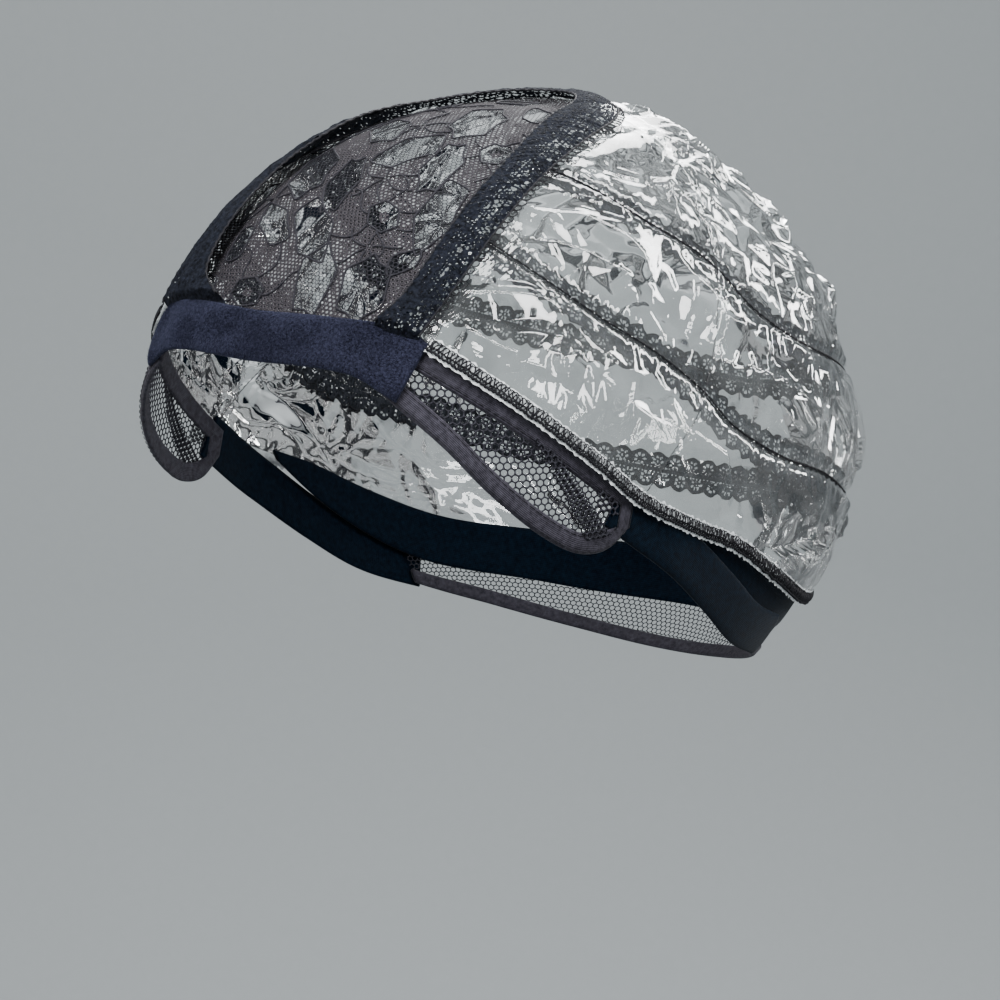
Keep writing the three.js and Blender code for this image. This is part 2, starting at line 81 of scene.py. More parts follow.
# Lines on the form: (degrees round from the front, degrees up).
BAND_TOP = [(0, 34.3), (8, 34.3), (16, 34), (23.4, 33.5), (30.5, 31.6)]
BAND_BOTTOM = [(0, 26.9), (8, 26.9), (15, 26.6), (21, 25.6), (26.2, 23)]
TRIM_INNER = [
    (23.6, 33.6), (27.2, 37.2), (31.5, 44.5), (37.8, 53.8), (49.8, 64.2), (86.7, 75.8), (133, 76),
    (162, 74), (180, 73.4),
]
TRIM_OUTER = [
    (30.8, 31.8), (35.6, 38.8), (43.2, 48.7), (60.1, 61.4), (89, 69), (132, 69.2), (160, 67.2),
    (180, 66.7),
]
HEM_LINE = [
    (31.4, 30.8), (38.9, 26.6), (47.9, 21), (59.3, 12.3), (67, 5.6), (78.9, -1.3), (93.6, -8.4),
    (109.1, -17.4), (126, -24.4), (150, -27.2), (180, -28),
]
SEAM_LINE = [
    (67, 5.6), (75.6, 12.4), (83.4, 17.4), (89.6, 24), (99.4, 34.6), (106.4, 41.5), (115, 52),
    (124, 61.5), (133, 69.8),
]
UPPER_ROW = [
    (59.4, 65.4), (64.8, 64.1), (78.6, 60.2), (91.4, 53.6), (103.4, 45.9), (109, 39.6), (113, 32.6),
    (123.4, 23.3), (138, 14.6), (154, 6.8), (180, 1.4),
]
LOWER_ROW = [
    (40.4, 48.6), (44.1, 46.9), (53.2, 42.5), (65.4, 36.3), (77, 30.6), (88.4, 22.1), (95.4, 14.4),
    (109.6, 5), (124.8, -1.6), (141, -8.6), (160, -12.8), (180, -14.2),
]
TAB_TOP = [(30.8, 30.2), (38.7, 26.1), (48, 20.4), (59.8, 11.5), (67.1, 5.3)]
TAB_BOTTOM = [
    (26.4, 22.6), (34.2, 16.4), (41.1, 9.1), (48.5, 2.2), (54.6, -1.8), (60.2, -2.4), (65.6, 0.6),
]
STRAP_LINE = [(68, 0.9), (78.8, -7.9), (92, -19), (104.5, -27.4), (119.5, -32.2)]
NAPE_TOP = [(82, -1.7), (94, -7.4), (109, -15.6), (126, -22.4), (150, -25.2), (180, -26)]
NAPE_BOTTOM = [(83.2, -4.6), (94, -15.5), (106, -24.6), (120, -31.2), (148, -34.8), (180, -35.6)]
NAPE_EDGE = [(116, -32.8), (136, -37.4), (158, -41), (180, -42.6)]

# Clear windows in the lace, on its flat pattern: a is across, b is from the crown to the front.
LACE_WINDOWS = [
    {"a": 19.1, "b": 62.6, "long": 5.6, "wide": 4.0, "turn": 42, "cusps": 0},
    {"a": -14.5, "b": 69, "long": 9.5, "wide": 4.4, "turn": 39, "cusps": 5},
    {"a": -1.5, "b": 53.5, "long": 12, "wide": 4.4, "turn": 75, "cusps": 6},
    {"a": 0.5, "b": 70, "long": 12, "wide": 5.6, "turn": 50, "cusps": 5},
    {"a": -17, "b": 48.5, "long": 12, "wide": 6.6, "turn": 58, "cusps": 6},
    {"a": -23.5, "b": 75.5, "long": 6, "wide": 3.8, "turn": 84, "cusps": 4},
    {"a": -10.2, "b": 90.3, "long": 5.8, "wide": 4.0, "turn": 11, "cusps": 0},
    {"a": 10.5, "b": 84.5, "long": 11, "wide": 5.4, "turn": 76, "cusps": 5},
    {"a": 25.5, "b": 84.3, "long": 10, "wide": 6.0, "turn": 84, "cusps": 6},
    {"a": 31.1, "b": 56.3, "long": 13, "wide": 5.0, "turn": 79, "cusps": 5},
    {"a": 31.6, "b": 74, "long": 5, "wide": 3, "turn": 111, "cusps": 4},
    {"a": 21.2, "b": 40.1, "long": 12, "wide": 4.2, "turn": 80, "cusps": 6},
    {"a": 8.1, "b": 36.8, "long": 9.4, "wide": 6.8, "turn": 116, "cusps": 5},
    {"a": 12.5, "b": 14.5, "long": 12.6, "wide": 5.8, "turn": 78, "cusps": 6},
    {"a": 28.2, "b": 26.7, "long": 5.6, "wide": 4, "turn": 72, "cusps": 0},
    {"a": 17, "b": -4, "long": 8.4, "wide": 3.4, "turn": 61, "cusps": 4},
    {"a": -8, "b": 27, "long": 9, "wide": 5.4, "turn": 60, "cusps": 5},
    {"a": -27, "b": 24, "long": 11, "wide": 5, "turn": 108, "cusps": 6},
    {"a": -9, "b": 5, "long": 5.4, "wide": 4, "turn": 104, "cusps": 0},
    {"a": 2, "b": -13, "long": 8, "wide": 5, "turn": 70, "cusps": 5},
    {"a": -31, "b": 58, "long": 8, "wide": 3, "turn": 96, "cusps": 5},
    {"a": -27, "b": 90, "long": 5, "wide": 3, "turn": 80, "cusps": 4},
]
WINDOW_CUSP = 0.2
LEAF_CORE = 0.3
# Flowers whose petals are parted by cords: centre and the reach of the parting cords.
LACE_FLOWERS = [
    {"a": 19.1, "b": 62.6, "inner": 4.6, "outer": 16},
    {"a": -10.2, "b": 90.3, "inner": 4.4, "outer": 16},
    {"a": 28.2, "b": 26.7, "inner": 4.4, "outer": 15},
    {"a": 1.5, "b": 24, "inner": 1, "outer": 12},
    {"a": -22, "b": 60, "inner": 1, "outer": 12},
    {"a": -9, "b": 5, "inner": 4, "outer": 15},
    {"a": 21, "b": 73, "inner": 1, "outer": 9},
    {"a": 11, "b": 50, "inner": 1, "outer": 10},
]

LINE_RUN_ON = 12
LACE_PITCH = 1.25
EAR_NET_PITCH = 1.75
NAPE_NET_PITCH = 1.7


def smooth(value, low, high):
    share = np.clip((value - low) / (high - low), 0, 1)
    return share * share * (3 - 2 * share)


def mix(low, high, share):
    return low + (high - low) * share


def unit(vectors):
    return vectors / np.linalg.norm(vectors, axis=-1, keepdims=True)


def direction(lon, lat):
    lon, lat = np.radians(np.asarray(lon, float)), np.radians(np.asarray(lat, float))
    return np.stack([np.cos(lat) * np.sin(lon), -np.cos(lat) * np.cos(lon), np.sin(lat)], -1)


def longitude(dirs):
    return np.degrees(np.arctan2(dirs[..., 0], -dirs[..., 1]))


def latitude(dirs):
    return np.degrees(np.arctan2(dirs[..., 2], np.hypot(dirs[..., 0], dirs[..., 1])))


def reach(dirs):
    """Distance from the hollow's centre to its surface along a direction."""
    back = smooth(np.abs(longitude(dirs)), BACK_STARTS, BACK_FULL)
    width = mix(HALF_WIDTH, BACK_HALF_WIDTH, back)
    depth = np.where(dirs[..., 1] > 0, BACK_DEPTH, FRONT_DEPTH)
    height = np.where(dirs[..., 2] > 0, CROWN_HEIGHT, LOWER_HEIGHT)
    plan = mix(FRONT_PLAN_POWER, BACK_PLAN_POWER, back)
    rise = np.where(dirs[..., 2] > 0, mix(2, BACK_RISE_POWER, back), 2)
    across = np.abs(dirs[..., 0] / width) ** plan
    flat = (across + np.abs(dirs[..., 1] / depth) ** plan) ** (rise / plan)
    return (flat + np.abs(dirs[..., 2] / height) ** rise) ** (-1 / rise)


def clearance(points):
    far = np.linalg.norm(points, axis=-1)
    return far - reach(points / far[..., None])


def normal_at(points):
    steps = 0.5 * np.eye(3)
    slopes = [clearance(points + step) - clearance(points - step) for step in steps]
    return unit(np.stack(slopes, -1))


def on_form(dirs, lift=0):
    dirs = unit(dirs)
    points = dirs * reach(dirs)[..., None]
    return points + normal_at(points) * np.broadcast_to(lift, points.shape[:-1])[..., None]


def mirrored(table):
    near = [row for row in table if 0 < row[0] < 180]
    far = [(-lon, lat) for lon, lat in reversed(near)]
    return far + [table[0]] + near if table[0][0] == 0 else list(table) + far


class Line:
    """A smooth line on the form through a table's points, evenly in millimetres for t from 0 to 1.

    It runs straight on for LINE_RUN_ON at both ends, where pieces tuck under their neighbours.
    """

    def __init__(self, table):
        knots = on_form(direction(*np.array(table, float).T))
        knots = np.vstack([2 * knots[0] - knots[1], knots, 2 * knots[-1] - knots[-2]])
        pieces = [self.span(*knots[i:i + 4]) for i in range(len(knots) - 3)]
        dense = np.vstack(pieces + [knots[-2:-1]])
        walked = np.linalg.norm(np.diff(dense, axis=0), axis=1).cumsum()
        self.length = walked[-1]
        past = LINE_RUN_ON / self.length
        self.share = np.concatenate([[-past, 0], walked / self.length, [1 + past]])
        first = dense[0] + unit(dense[0] - dense[1]) * LINE_RUN_ON
        last = dense[-1] + unit(dense[-1] - dense[-2]) * LINE_RUN_ON
        self.dense = np.vstack([first, dense, last])

    @staticmethod
    def span(a, b, c, d, steps=40):
        """Centripetal Catmull-Rom between b and c."""
        gaps = [np.linalg.norm(q - p) ** 0.5 for p, q in ((a, b), (b, c), (c, d))]
        t0, t1, t2, t3 = np.concatenate([[0], np.cumsum(gaps)])
        t = np.linspace(t1, t2, steps, endpoint=False)[:, None]
        ab = (a * (t1 - t) + b * (t - t0)) / (t1 - t0)
        bc = (b * (t2 - t) + c * (t - t1)) / (t2 - t1)
        cd = (c * (t3 - t) + d * (t - t2)) / (t3 - t2)
        abc = (ab * (t2 - t) + bc * (t - t0)) / (t2 - t0)
        bcd = (bc * (t3 - t) + cd * (t - t1)) / (t3 - t1)
        return (abc * (t2 - t) + bcd * (t - t1)) / (t2 - t1)

    def at(self, t):
        return unit(np.stack([np.interp(t, self.share, self.dense[:, k]) for k in range(3)], -1))


def between(start, end, share):
    return unit(start + (end - start) * np.asarray(share)[..., None])


def nearest(at, aim, tries=400):
    shares = np.linspace(0, 1, tries + 1)
    return shares[np.argmin(np.linalg.norm(at(shares) - aim, axis=-1))]


def patch(bottom, top, left, right):
    """Directions filled in between four edge lines."""

    def place(u, v):
        wu, wv = np.asarray(u)[..., None], np.asarray(v)[..., None]
        low, high = bottom(u) * (1 - wv), top(u) * wv
        sides = left(v) * (1 - wu) + right(v) * wu
        zero, one = np.zeros_like(u), np.ones_like(u)
        near = bottom(zero) * (1 - wu) * (1 - wv) + bottom(one) * wu * (1 - wv)
        far = top(zero) * (1 - wu) * wv + top(one) * wu * wv
        return unit(low + high + sides - near - far)

    return place


def strip(at, width):
    """Directions across a line: v runs from 0 to 1 over the width, in millimetres."""

    def place(u, v):
        step = 0.002
        centre = on_form(at(u))
        travel = on_form(at(np.minimum(1, u + step))) - on_form(at(np.maximum(0, u - step)))
        side = unit(np.cross(normal_at(centre), travel))
        return unit(centre + side * ((v - 0.5) * width(u))[..., None])

    return place


def noise(points, seed):
    """Smooth gradient noise, about -1 to 1, at points in space."""
    rng = np.random.default_rng(seed)
    table = rng.permutation(256)
    slopes = unit(rng.normal(size=(256, 3)))
    cell = np.floor(points).astype(int)
    local = points - cell
    ease = local ** 3 * (local * (local * 6 - 15) + 10)
    total = 0
    for corner in np.ndindex(2, 2, 2):
        corner = np.array(corner)
        x, y, z = np.moveaxis((cell + corner) & 255, -1, 0)
        slope = slopes[table[(table[(table[x] + y) & 255] + z) & 255]]
        weight = np.prod(np.where(corner, ease, 1 - ease), axis=-1)
        total = total + weight * np.sum(slope * (local - corner), axis=-1)
    return total * 1.6


def facets(points, spacing, stretch, along, seed):
    """Height of flat facets that meet at creases, in millimetres for a slope of one.

    Each point takes its distance to the nearest border between two of the scattered centres,
    and the facets are stretched along a direction.
    """
    along = unit(np.array(along, float))
    flat = points.reshape(-1, 3)
    flat = flat - np.outer(flat @ along, along) * (1 - 1 / stretch)
    rng = np.random.default_rng(seed)
    size = np.linalg.norm(np.ptp(flat, axis=0))
    centres = flat[rng.permutation(len(flat))[:int((0.75 * size / spacing) ** 2)]]
    height = np.empty(len(flat))
    for start in range(0, len(flat), 8000):
        rows = slice(start, start + 8000)
        gaps = ((flat[rows, None] - centres[None]) ** 2).sum(-1)
        first, second = np.argpartition(gaps, 1, axis=1)[:, :2].T
        line = np.arange(len(first))
        swap = gaps[line, first] > gaps[line, second]
        first, second = np.where(swap, second, first), np.where(swap, first, second)
        apart = np.linalg.norm(centres[first] - centres[second], axis=-1) + 1e-6
        height[rows] = (gaps[line, second] - gaps[line, first]) / (2 * apart)
    return height.reshape(points.shape[:-1])


# Meshes

class Mesher:
    """Collects points and faces of one piece, in millimetres from the form's centre."""

    def __init__(self):
        self.points, self.faces, self.uvs, self.slots = [], [], [], []
        self.count = 0

    def add(self, points, faces, uv=None, slot=0):
        points = np.reshape(points, (-1, 3))
        self.points.append(points)
        self.faces.append(faces + self.count)
        self.uvs.append(np.zeros((len(points), 2)) if uv is None else np.reshape(uv, (-1, 2)))
        self.slots.append(np.full(len(faces), slot))
        self.count += len(points)
        return self

    def build(self, name, *materials, flip=False):
        points = (np.vstack(self.points) - [0, 0, CROWN_HEIGHT]) * MM
        if flip:
            points = points * [-1, 1, 1]
        faces = [row[:, ::-1] if flip else row for row in self.faces]
        sizes = np.concatenate([np.full(len(row), row.shape[1]) for row in faces])
        corners = np.concatenate([row.ravel() for row in faces])
        mesh = bpy.data.meshes.new(name)
        mesh.vertices.add(len(points))
        mesh.vertices.foreach_set("co", points.ravel())
        mesh.loops.add(len(corners))
        mesh.loops.foreach_set("vertex_index", corners)
        mesh.polygons.add(len(sizes))
        mesh.polygons.foreach_set("loop_start", np.concatenate([[0], np.cumsum(sizes)[:-1]]))
        mesh.polygons.foreach_set("use_smooth", np.ones(len(sizes), bool))
        mesh.polygons.foreach_set("material_index", np.concatenate(self.slots))
        layer = mesh.uv_layers.new(name="cloth")
        layer.data.foreach_set("uv", np.vstack(self.uvs)[corners].ravel())
        mesh.update(calc_edges=True)
        mesh.validate()
        for material in materials:
            mesh.materials.append(material)
        made = bpy.data.objects.new(name, mesh)
        bpy.context.scene.collection.objects.link(made)
        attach(made, "root")
        return made


def grid_faces(columns, rows, ring=False):
    """Quads of a grid whose points run column by column, rows + 1 points in each."""
    i, j = np.meshgrid(np.arange(columns), np.arange(rows), indexing="ij")
    steps = columns if ring else columns + 1
    here, ahead = i % steps * (rows + 1) + j, (i + 1) % steps * (rows + 1) + j
    return np.stack([here, ahead, ahead + 1, here + 1], -1).reshape(-1, 4)


def grid_uv(columns, rows, ring=False):
    u = np.arange(columns if ring else columns + 1) / columns
    return np.meshgrid(u, np.linspace(0, 1, rows + 1), indexing="ij")


def shell(place, lift, thick, columns, rows, size, ring=False, relief=None):
    """A closed cloth strip with soft rims: size is its length and width for the weave."""
    u, v = grid_uv(columns, rows, ring)
    dirs = place(u, v)
    base = np.broadcast_to(lift(u, v), u.shape)
    round_off = np.abs(2 * v - 1) ** 6
    swell = relief(u, v) if relief else 0
    outer = on_form(dirs, base + thick * (1 - 0.45 * round_off) + swell)
    inner = on_form(dirs, base + thick * 0.15 * round_off)
    uv = np.stack([u * size[0], v * size[1]], -1)
    count = u.size
    faces = grid_faces(columns, rows, ring)
    steps = u.shape[0]
    here = np.arange(columns) % steps * (rows + 1)
    ahead = (np.arange(columns) + 1) % steps * (rows + 1)
    rims = [
        np.stack([here, here + count, ahead + count, ahead], -1),
        np.stack([here + rows, ahead + rows, ahead + rows + count, here + rows + count], -1),
    ]
    if not ring:
        j = np.arange(rows)
        last = columns * (rows + 1) + j
        rims += [
            np.stack([j, j + 1, j + 1 + count, j + count], -1),
            np.stack([last, last + count, last + 1 + count, last + 1], -1),
        ]
    mesher = Mesher()
    every = np.vstack([faces, faces[:, ::-1] + count] + rims)
    mesher.add(np.stack([outer, inner]), every, np.stack([uv, uv]))
    return mesher


def sweep(paths, radius, sides=5, flat=1.0, close=False):
    """Threads along many paths at once: paths is (threads, points, 3). Two sides make a flat ribbon."""
    paths = np.asarray(paths, float)
    threads, points = paths.shape[:2]
    if close:
        travel = np.roll(paths, -1, axis=1) - np.roll(paths, 1, axis=1)
    else:
        travel = np.gradient(paths, axis=1)
    travel = unit(travel + 1e-9)
    side = unit(np.cross(normal_at(paths), travel))
    up = np.cross(travel, side)
    turn = 2 * np.pi * np.arange(sides) / sides
    wide = np.broadcast_to(radius, (threads, points))[..., None, None]
    ring = side[:, :, None] * np.cos(turn)[:, None] + flat * up[:, :, None] * np.sin(turn)[:, None]
    cloud = paths[:, :, None] + ring * wide
    spans = points if close else points - 1
    loops = 1 if sides == 2 else sides
    n, i, j = np.meshgrid(np.arange(threads), np.arange(spans), np.arange(loops), indexing="ij")
    start = n * points * sides
    ahead = (i + 1) % points
    a, b = start + i * sides + j, start + i * sides + (j + 1) % sides
    c, d = start + ahead * sides + (j + 1) % sides, start + ahead * sides + j
    return cloud, np.stack([a, b, c, d], -1).reshape(-1, 4)


def inside(points, outline):
    """Which flat points lie inside a closed outline."""
    x, y = points[..., 0], points[..., 1]
    hits = np.zeros(x.shape, bool)
    for (x1, y1), (x2, y2) in zip(outline, np.roll(outline, -1, axis=0)):
        if y1 != y2:
            hits ^= ((y1 > y) != (y2 > y)) & (x < (x2 - x1) * (y - y1) / (y2 - y1) + x1)
    return hits


def hexagons(outline, pitch):
    """Strands of a hexagonal net inside an outline, as (strands, 2, 2) flat ends in millimetres."""
    low, high = outline.min(0) - pitch, outline.max(0) + pitch
    rise = pitch * math.sqrt(3) / 2
    j, i = np.meshgrid(np.arange((high[1] - low[1]) / rise), np.arange((high[0] - low[0]) / pitch))
    centres = np.stack([low[0] + (i + j % 2 / 2) * pitch, low[1] + j * rise], -1).reshape(-1, 1, 2)
    turn = np.radians(30 + 60 * np.arange(4))
    corners = centres + pitch / math.sqrt(3) * np.stack([np.cos(turn), np.sin(turn)], -1)
    strands = np.stack([corners[:, :3], corners[:, 1:]], 2).reshape(-1, 2, 2)
    return strands[inside(strands.mean(1), outline)]


def stitches(at, length, spacing, lift, radius=0.16, cover=0.82, dip=0.22):
    """Sewing stitches along a line: each dips into the cloth at its ends."""
    count = max(2, int(length / spacing))
    steps = np.linspace(0, 1, 6)
    share = (np.arange(count)[:, None] + 0.5 + (steps - 0.5) * cover) / count
    dips = (1 - np.sin(np.pi * steps) ** 0.6) * dip
    height = lift(share) if callable(lift) else lift
    paths = on_form(at(share), height - dips + radius * 0.5)
    thick = radius * (0.55 + 0.45 * np.sin(np.pi * steps))
    return sweep(paths, np.broadcast_to(thick, share.shape), 5)


def nearest_on(line, points):
    """Distance from each point to a line on the form, and how far along the line that is."""
    flat = points.reshape(-1, 3)
    shares = np.linspace(0, 1, int(line.length / 1.5))
    path = on_form(line.at(shares))
    far, along = np.empty(len(flat)), np.empty(len(flat))
    for start in range(0, len(flat), 20000):
        rows = slice(start, start + 20000)
        gap = np.linalg.norm(flat[rows, None] - path[None], axis=-1)
        best = gap.argmin(1)
        far[rows], along[rows] = gap[np.arange(len(best)), best], shares[best] * line.length
    return far.reshape(points.shape[:-1]), along.reshape(points.shape[:-1])


band_top, band_bottom = Line(mirrored(BAND_TOP)), Line(mirrored(BAND_BOTTOM))
trim_inner, trim_outer = Line(mirrored(TRIM_INNER)), Line(mirrored(TRIM_OUTER))
hem_line = Line(mirrored(HEM_LINE))
seam_line = Line(SEAM_LINE)
upper_row, lower_row = Line(mirrored(UPPER_ROW)), Line(mirrored(LOWER_ROW))
tab_top, tab_bottom = Line(TAB_TOP), Line(TAB_BOTTOM)
strap_line = Line(STRAP_LINE)
nape_top, nape_bottom = Line(mirrored(NAPE_TOP)), Line(mirrored(NAPE_BOTTOM))
nape_edge = Line(mirrored(NAPE_EDGE))


def band_place(u, v):
    return between(band_bottom.at(u), band_top.at(u), v)


def trim_place(u, v):
    return between(trim_outer.at(u), trim_inner.at(u), v)


# Materials

def material(name):
    made = bpy.data.materials.new(name)
    made.use_nodes = True
    nodes, links = made.node_tree.nodes, made.node_tree.links
    return made, nodes, links, nodes["Principled BSDF"]


def textured(nodes, links, kind, scale, coords="Object", **settings):
    """A texture node on object or cloth coordinates, in cells per metre or per millimetre."""
    place = nodes.new("ShaderNodeTexCoord")
    node = nodes.new(kind)
    node.inputs["Scale"].default_value = scale
    for key, value in settings.items():
        if key in node.inputs:
            node.inputs[key].default_value = value
        else:
            setattr(node, key, value)
    links.new(place.outputs[coords], node.inputs["Vector"])
    return node


def ramp(nodes, links, source, low, high, start=0.0, end=1.0):
    node = nodes.new("ShaderNodeValToRGB")
    node.color_ramp.elements[0].position, node.color_ramp.elements[1].position = start, end
    node.color_ramp.elements[0].color, node.color_ramp.elements[1].color = (*low, 1), (*high, 1)
    links.new(source, node.inputs["Fac"])
    return node


def bump(nodes, links, source, target, depth, strength=1.0, before=None):
    node = nodes.new("ShaderNodeBump")
    node.inputs["Distance"].default_value = depth * MM
    node.inputs["Strength"].default_value = strength
    links.new(source, node.inputs["Height"])
    if before:
        links.new(before.outputs["Normal"], node.inputs["Normal"])
    links.new(node.outputs["Normal"], target.inputs["Normal"])
    return node


def velvet():
    made, nodes, links, skin = material("velvet_navy")
    mottle = textured(nodes, links, "ShaderNodeTexNoise", 1500, Detail=6.0, Roughness=0.8)
    dark, light = (0.001, 0.0012, 0.004), (0.028, 0.03, 0.056)
    colour = ramp(nodes, links, mottle.outputs["Fac"], dark, light, 0.38, 0.68)
    links.new(colour.outputs["Color"], skin.inputs["Base Color"])
    skin.inputs["Roughness"].default_value = 0.95
    skin.inputs["Sheen Weight"].default_value = 0.12
    skin.inputs["Sheen Roughness"].default_value = 0.5
    skin.inputs["Sheen Tint"].default_value = (0.25, 0.29, 0.5, 1)
    skin.inputs["Specular IOR Level"].default_value = 0.08
    pile = textured(nodes, links, "ShaderNodeTexNoise", 2200, Detail=3.0)
    bump(nodes, links, pile.outputs["Fac"], skin, 0.5, 1.0)
    return made


def thread(name, dark, light, rough=0.75, scale=2200, shine=0.12, relief=0.12):
    """Twisted or woven thread: fine mottling and a soft surface."""
    made, nodes, links, skin = material(name)
    mottle = textured(nodes, links, "ShaderNodeTexNoise", scale, Detail=4.0)
    colour = ramp(nodes, links, mottle.outputs["Fac"], dark, light, 0.3, 0.75)
    links.new(colour.outputs["Color"], skin.inputs["Base Color"])
    skin.inputs["Roughness"].default_value = rough
    skin.inputs["Specular IOR Level"].default_value = shine
    fuzz = textured(nodes, links, "ShaderNodeTexNoise", scale * 1.7, Detail=2.0)
    bump(nodes, links, fuzz.outputs["Fac"], skin, relief, 0.8)
    return made


def woven(name, dark, light, across, along, rough, shine, depth=0.12, sheen=0.05):
    """Ribbed tape: cords along it and finer cross threads, on the cloth's own millimetres."""
    made, nodes, links, skin = material(name)
    place = nodes.new("ShaderNodeTexCoord")
    split = nodes.new("ShaderNodeSeparateXYZ")
    links.new(place.outputs["UV"], split.inputs["Vector"])
    heights = []
    for axis, pitch in (("Y", across), ("X", along)):
        wave = nodes.new("ShaderNodeMath")
        wave.operation = "MULTIPLY"
        wave.inputs[1].default_value = 2 * math.pi / pitch
        links.new(split.outputs[axis], wave.inputs[0])
        sine = nodes.new("ShaderNodeMath")
        sine.operation = "SINE"
        links.new(wave.outputs[0], sine.inputs[0])
        heights.append(sine)
    weave = nodes.new("ShaderNodeMath")
    weave.operation = "MULTIPLY_ADD"
    weave.inputs[1].default_value = 0.6
    links.new(heights[1].outputs[0], weave.inputs[0])
    links.new(heights[0].outputs[0], weave.inputs[2])
    mottle = textured(nodes, links, "ShaderNodeTexNoise", 700, Detail=6.0, Roughness=0.65)
    blend = nodes.new("ShaderNodeMath")
    blend.operation = "MULTIPLY_ADD"
    blend.inputs[1].default_value = 0.07
    links.new(weave.outputs[0], blend.inputs[0])
    links.new(mottle.outputs["Fac"], blend.inputs[2])
    colour = ramp(nodes, links, blend.outputs[0], dark, light, 0.3, 0.75)
    links.new(colour.outputs["Color"], skin.inputs["Base Color"])
    skin.inputs["Roughness"].default_value = rough
    skin.inputs["Specular IOR Level"].default_value = shine
    skin.inputs["Sheen Weight"].default_value = sheen
    skin.inputs["Sheen Roughness"].default_value = 0.45
    first = bump(nodes, links, weave.outputs[0], skin, depth, 0.8)
    grain = textured(nodes, links, "ShaderNodeTexNoise", 2400, Detail=3.0)
    bump(nodes, links, grain.outputs["Fac"], skin, 0.1, 0.6, first)
    return made


def film(name="clear_film"):
    """Thin clear film: see-through, with gloss that grows at glancing angles and a slight haze."""
    made, nodes, links, skin = material(name)
    nodes.remove(skin)
    out = nodes["Material Output"]
    clear = nodes.new("ShaderNodeBsdfTransparent")
    clear.inputs["Color"].default_value = (0.975, 0.992, 0.988, 1)
    gloss = nodes.new("ShaderNodeBsdfGlossy")
    gloss.inputs["Color"].default_value = (1, 1, 1, 1)
    gloss.inputs["Roughness"].default_value = 0.055
    haze = nodes.new("ShaderNodeBsdfTranslucent")
    haze.inputs["Color"].default_value = (0.9, 0.96, 0.97, 1)
    white = nodes.new("ShaderNodeBsdfDiffuse")
    white.inputs["Color"].default_value = (0.9, 0.96, 0.97, 1)
    angle = nodes.new("ShaderNodeFresnel")
    angle.inputs["IOR"].default_value = 1.58
    lift = nodes.new("ShaderNodeMath")
    lift.operation = "MULTIPLY_ADD"
    lift.inputs[1].default_value = 1.35
    lift.inputs[2].default_value = 0.02
    lift.use_clamp = True
    links.new(angle.outputs[0], lift.inputs[0])
    creases = textured(nodes, links, "ShaderNodeTexNoise", 75, Detail=2.0, Roughness=0.5, Distortion=0.3)
    fine = bump(nodes, links, creases.outputs["Fac"], gloss, 1.2, 0.36)
    links.new(fine.outputs["Normal"], angle.inputs["Normal"])
    cloud = textured(nodes, links, "ShaderNodeTexNoise", 45, Detail=4.0, Roughness=0.6, Distortion=0.8)
    veil = nodes.new("ShaderNodeMapRange")
    veil.inputs["From Min"].default_value = 0.45
    veil.inputs["From Max"].default_value = 0.75
    veil.inputs["To Min"].default_value = 0.03
    veil.inputs["To Max"].default_value = 0.14
    links.new(cloud.outputs["Fac"], veil.inputs["Value"])
    milk = nodes.new("ShaderNodeMixShader")
    milk.inputs[0].default_value = 0.5
    links.new(haze.outputs[0], milk.inputs[1])
    links.new(white.outputs[0], milk.inputs[2])
    body = nodes.new("ShaderNodeMixShader")
    links.new(veil.outputs["Result"], body.inputs[0])
    links.new(clear.outputs[0], body.inputs[1])
    links.new(milk.outputs[0], body.inputs[2])
    top = nodes.new("ShaderNodeMixShader")
    links.new(lift.outputs[0], top.inputs[0])
    links.new(body.outputs[0], top.inputs[1])
    links.new(gloss.outputs[0], top.inputs[2])
    links.new(top.outputs[0], out.inputs["Surface"])
    return made


VELVET = velvet()
LACE_THREAD = thread("lace_thread", (0.006, 0.006, 0.009), (0.03, 0.029, 0.036))
LACE_FILL = thread("lace_filling", (0.03, 0.027, 0.03), (0.1, 0.09, 0.1), 0.85)
TRIM_LACE = thread("trim_lace", (0.0006, 0.0008, 0.0016), (0.013, 0.0155, 0.024), 0.85, 900, 0.06, 0.5)
ROW_LACE = thread("row_lace", (0.002, 0.003, 0.005), (0.034, 0.038, 0.05), 0.75, 900, 0.2, 0.3)
BLACK_THREAD = thread("black_thread", (0.003, 0.003, 0.004), (0.02, 0.02, 0.025), 0.6)
SEAM_THREAD = thread("grey_thread", (0.02, 0.02, 0.022), (0.07, 0.07, 0.075), 0.6)
NET_THREAD = thread("net_thread", (0.006, 0.006, 0.009), (0.035, 0.035, 0.045))
BINDING = woven("charcoal_binding", (0.012, 0.011, 0.016), (0.055, 0.052, 0.068), 0.45, 0.38, 0.8, 0.1, 0.05)
ELASTIC = woven("teal_elastic", (0.0003, 0.0015, 0.004), (0.002, 0.008, 0.017), 0.42, 0.6, 0.8, 0.03, 0.01)
FILM = film()


# Pieces

BAND_TUCK = 0.028


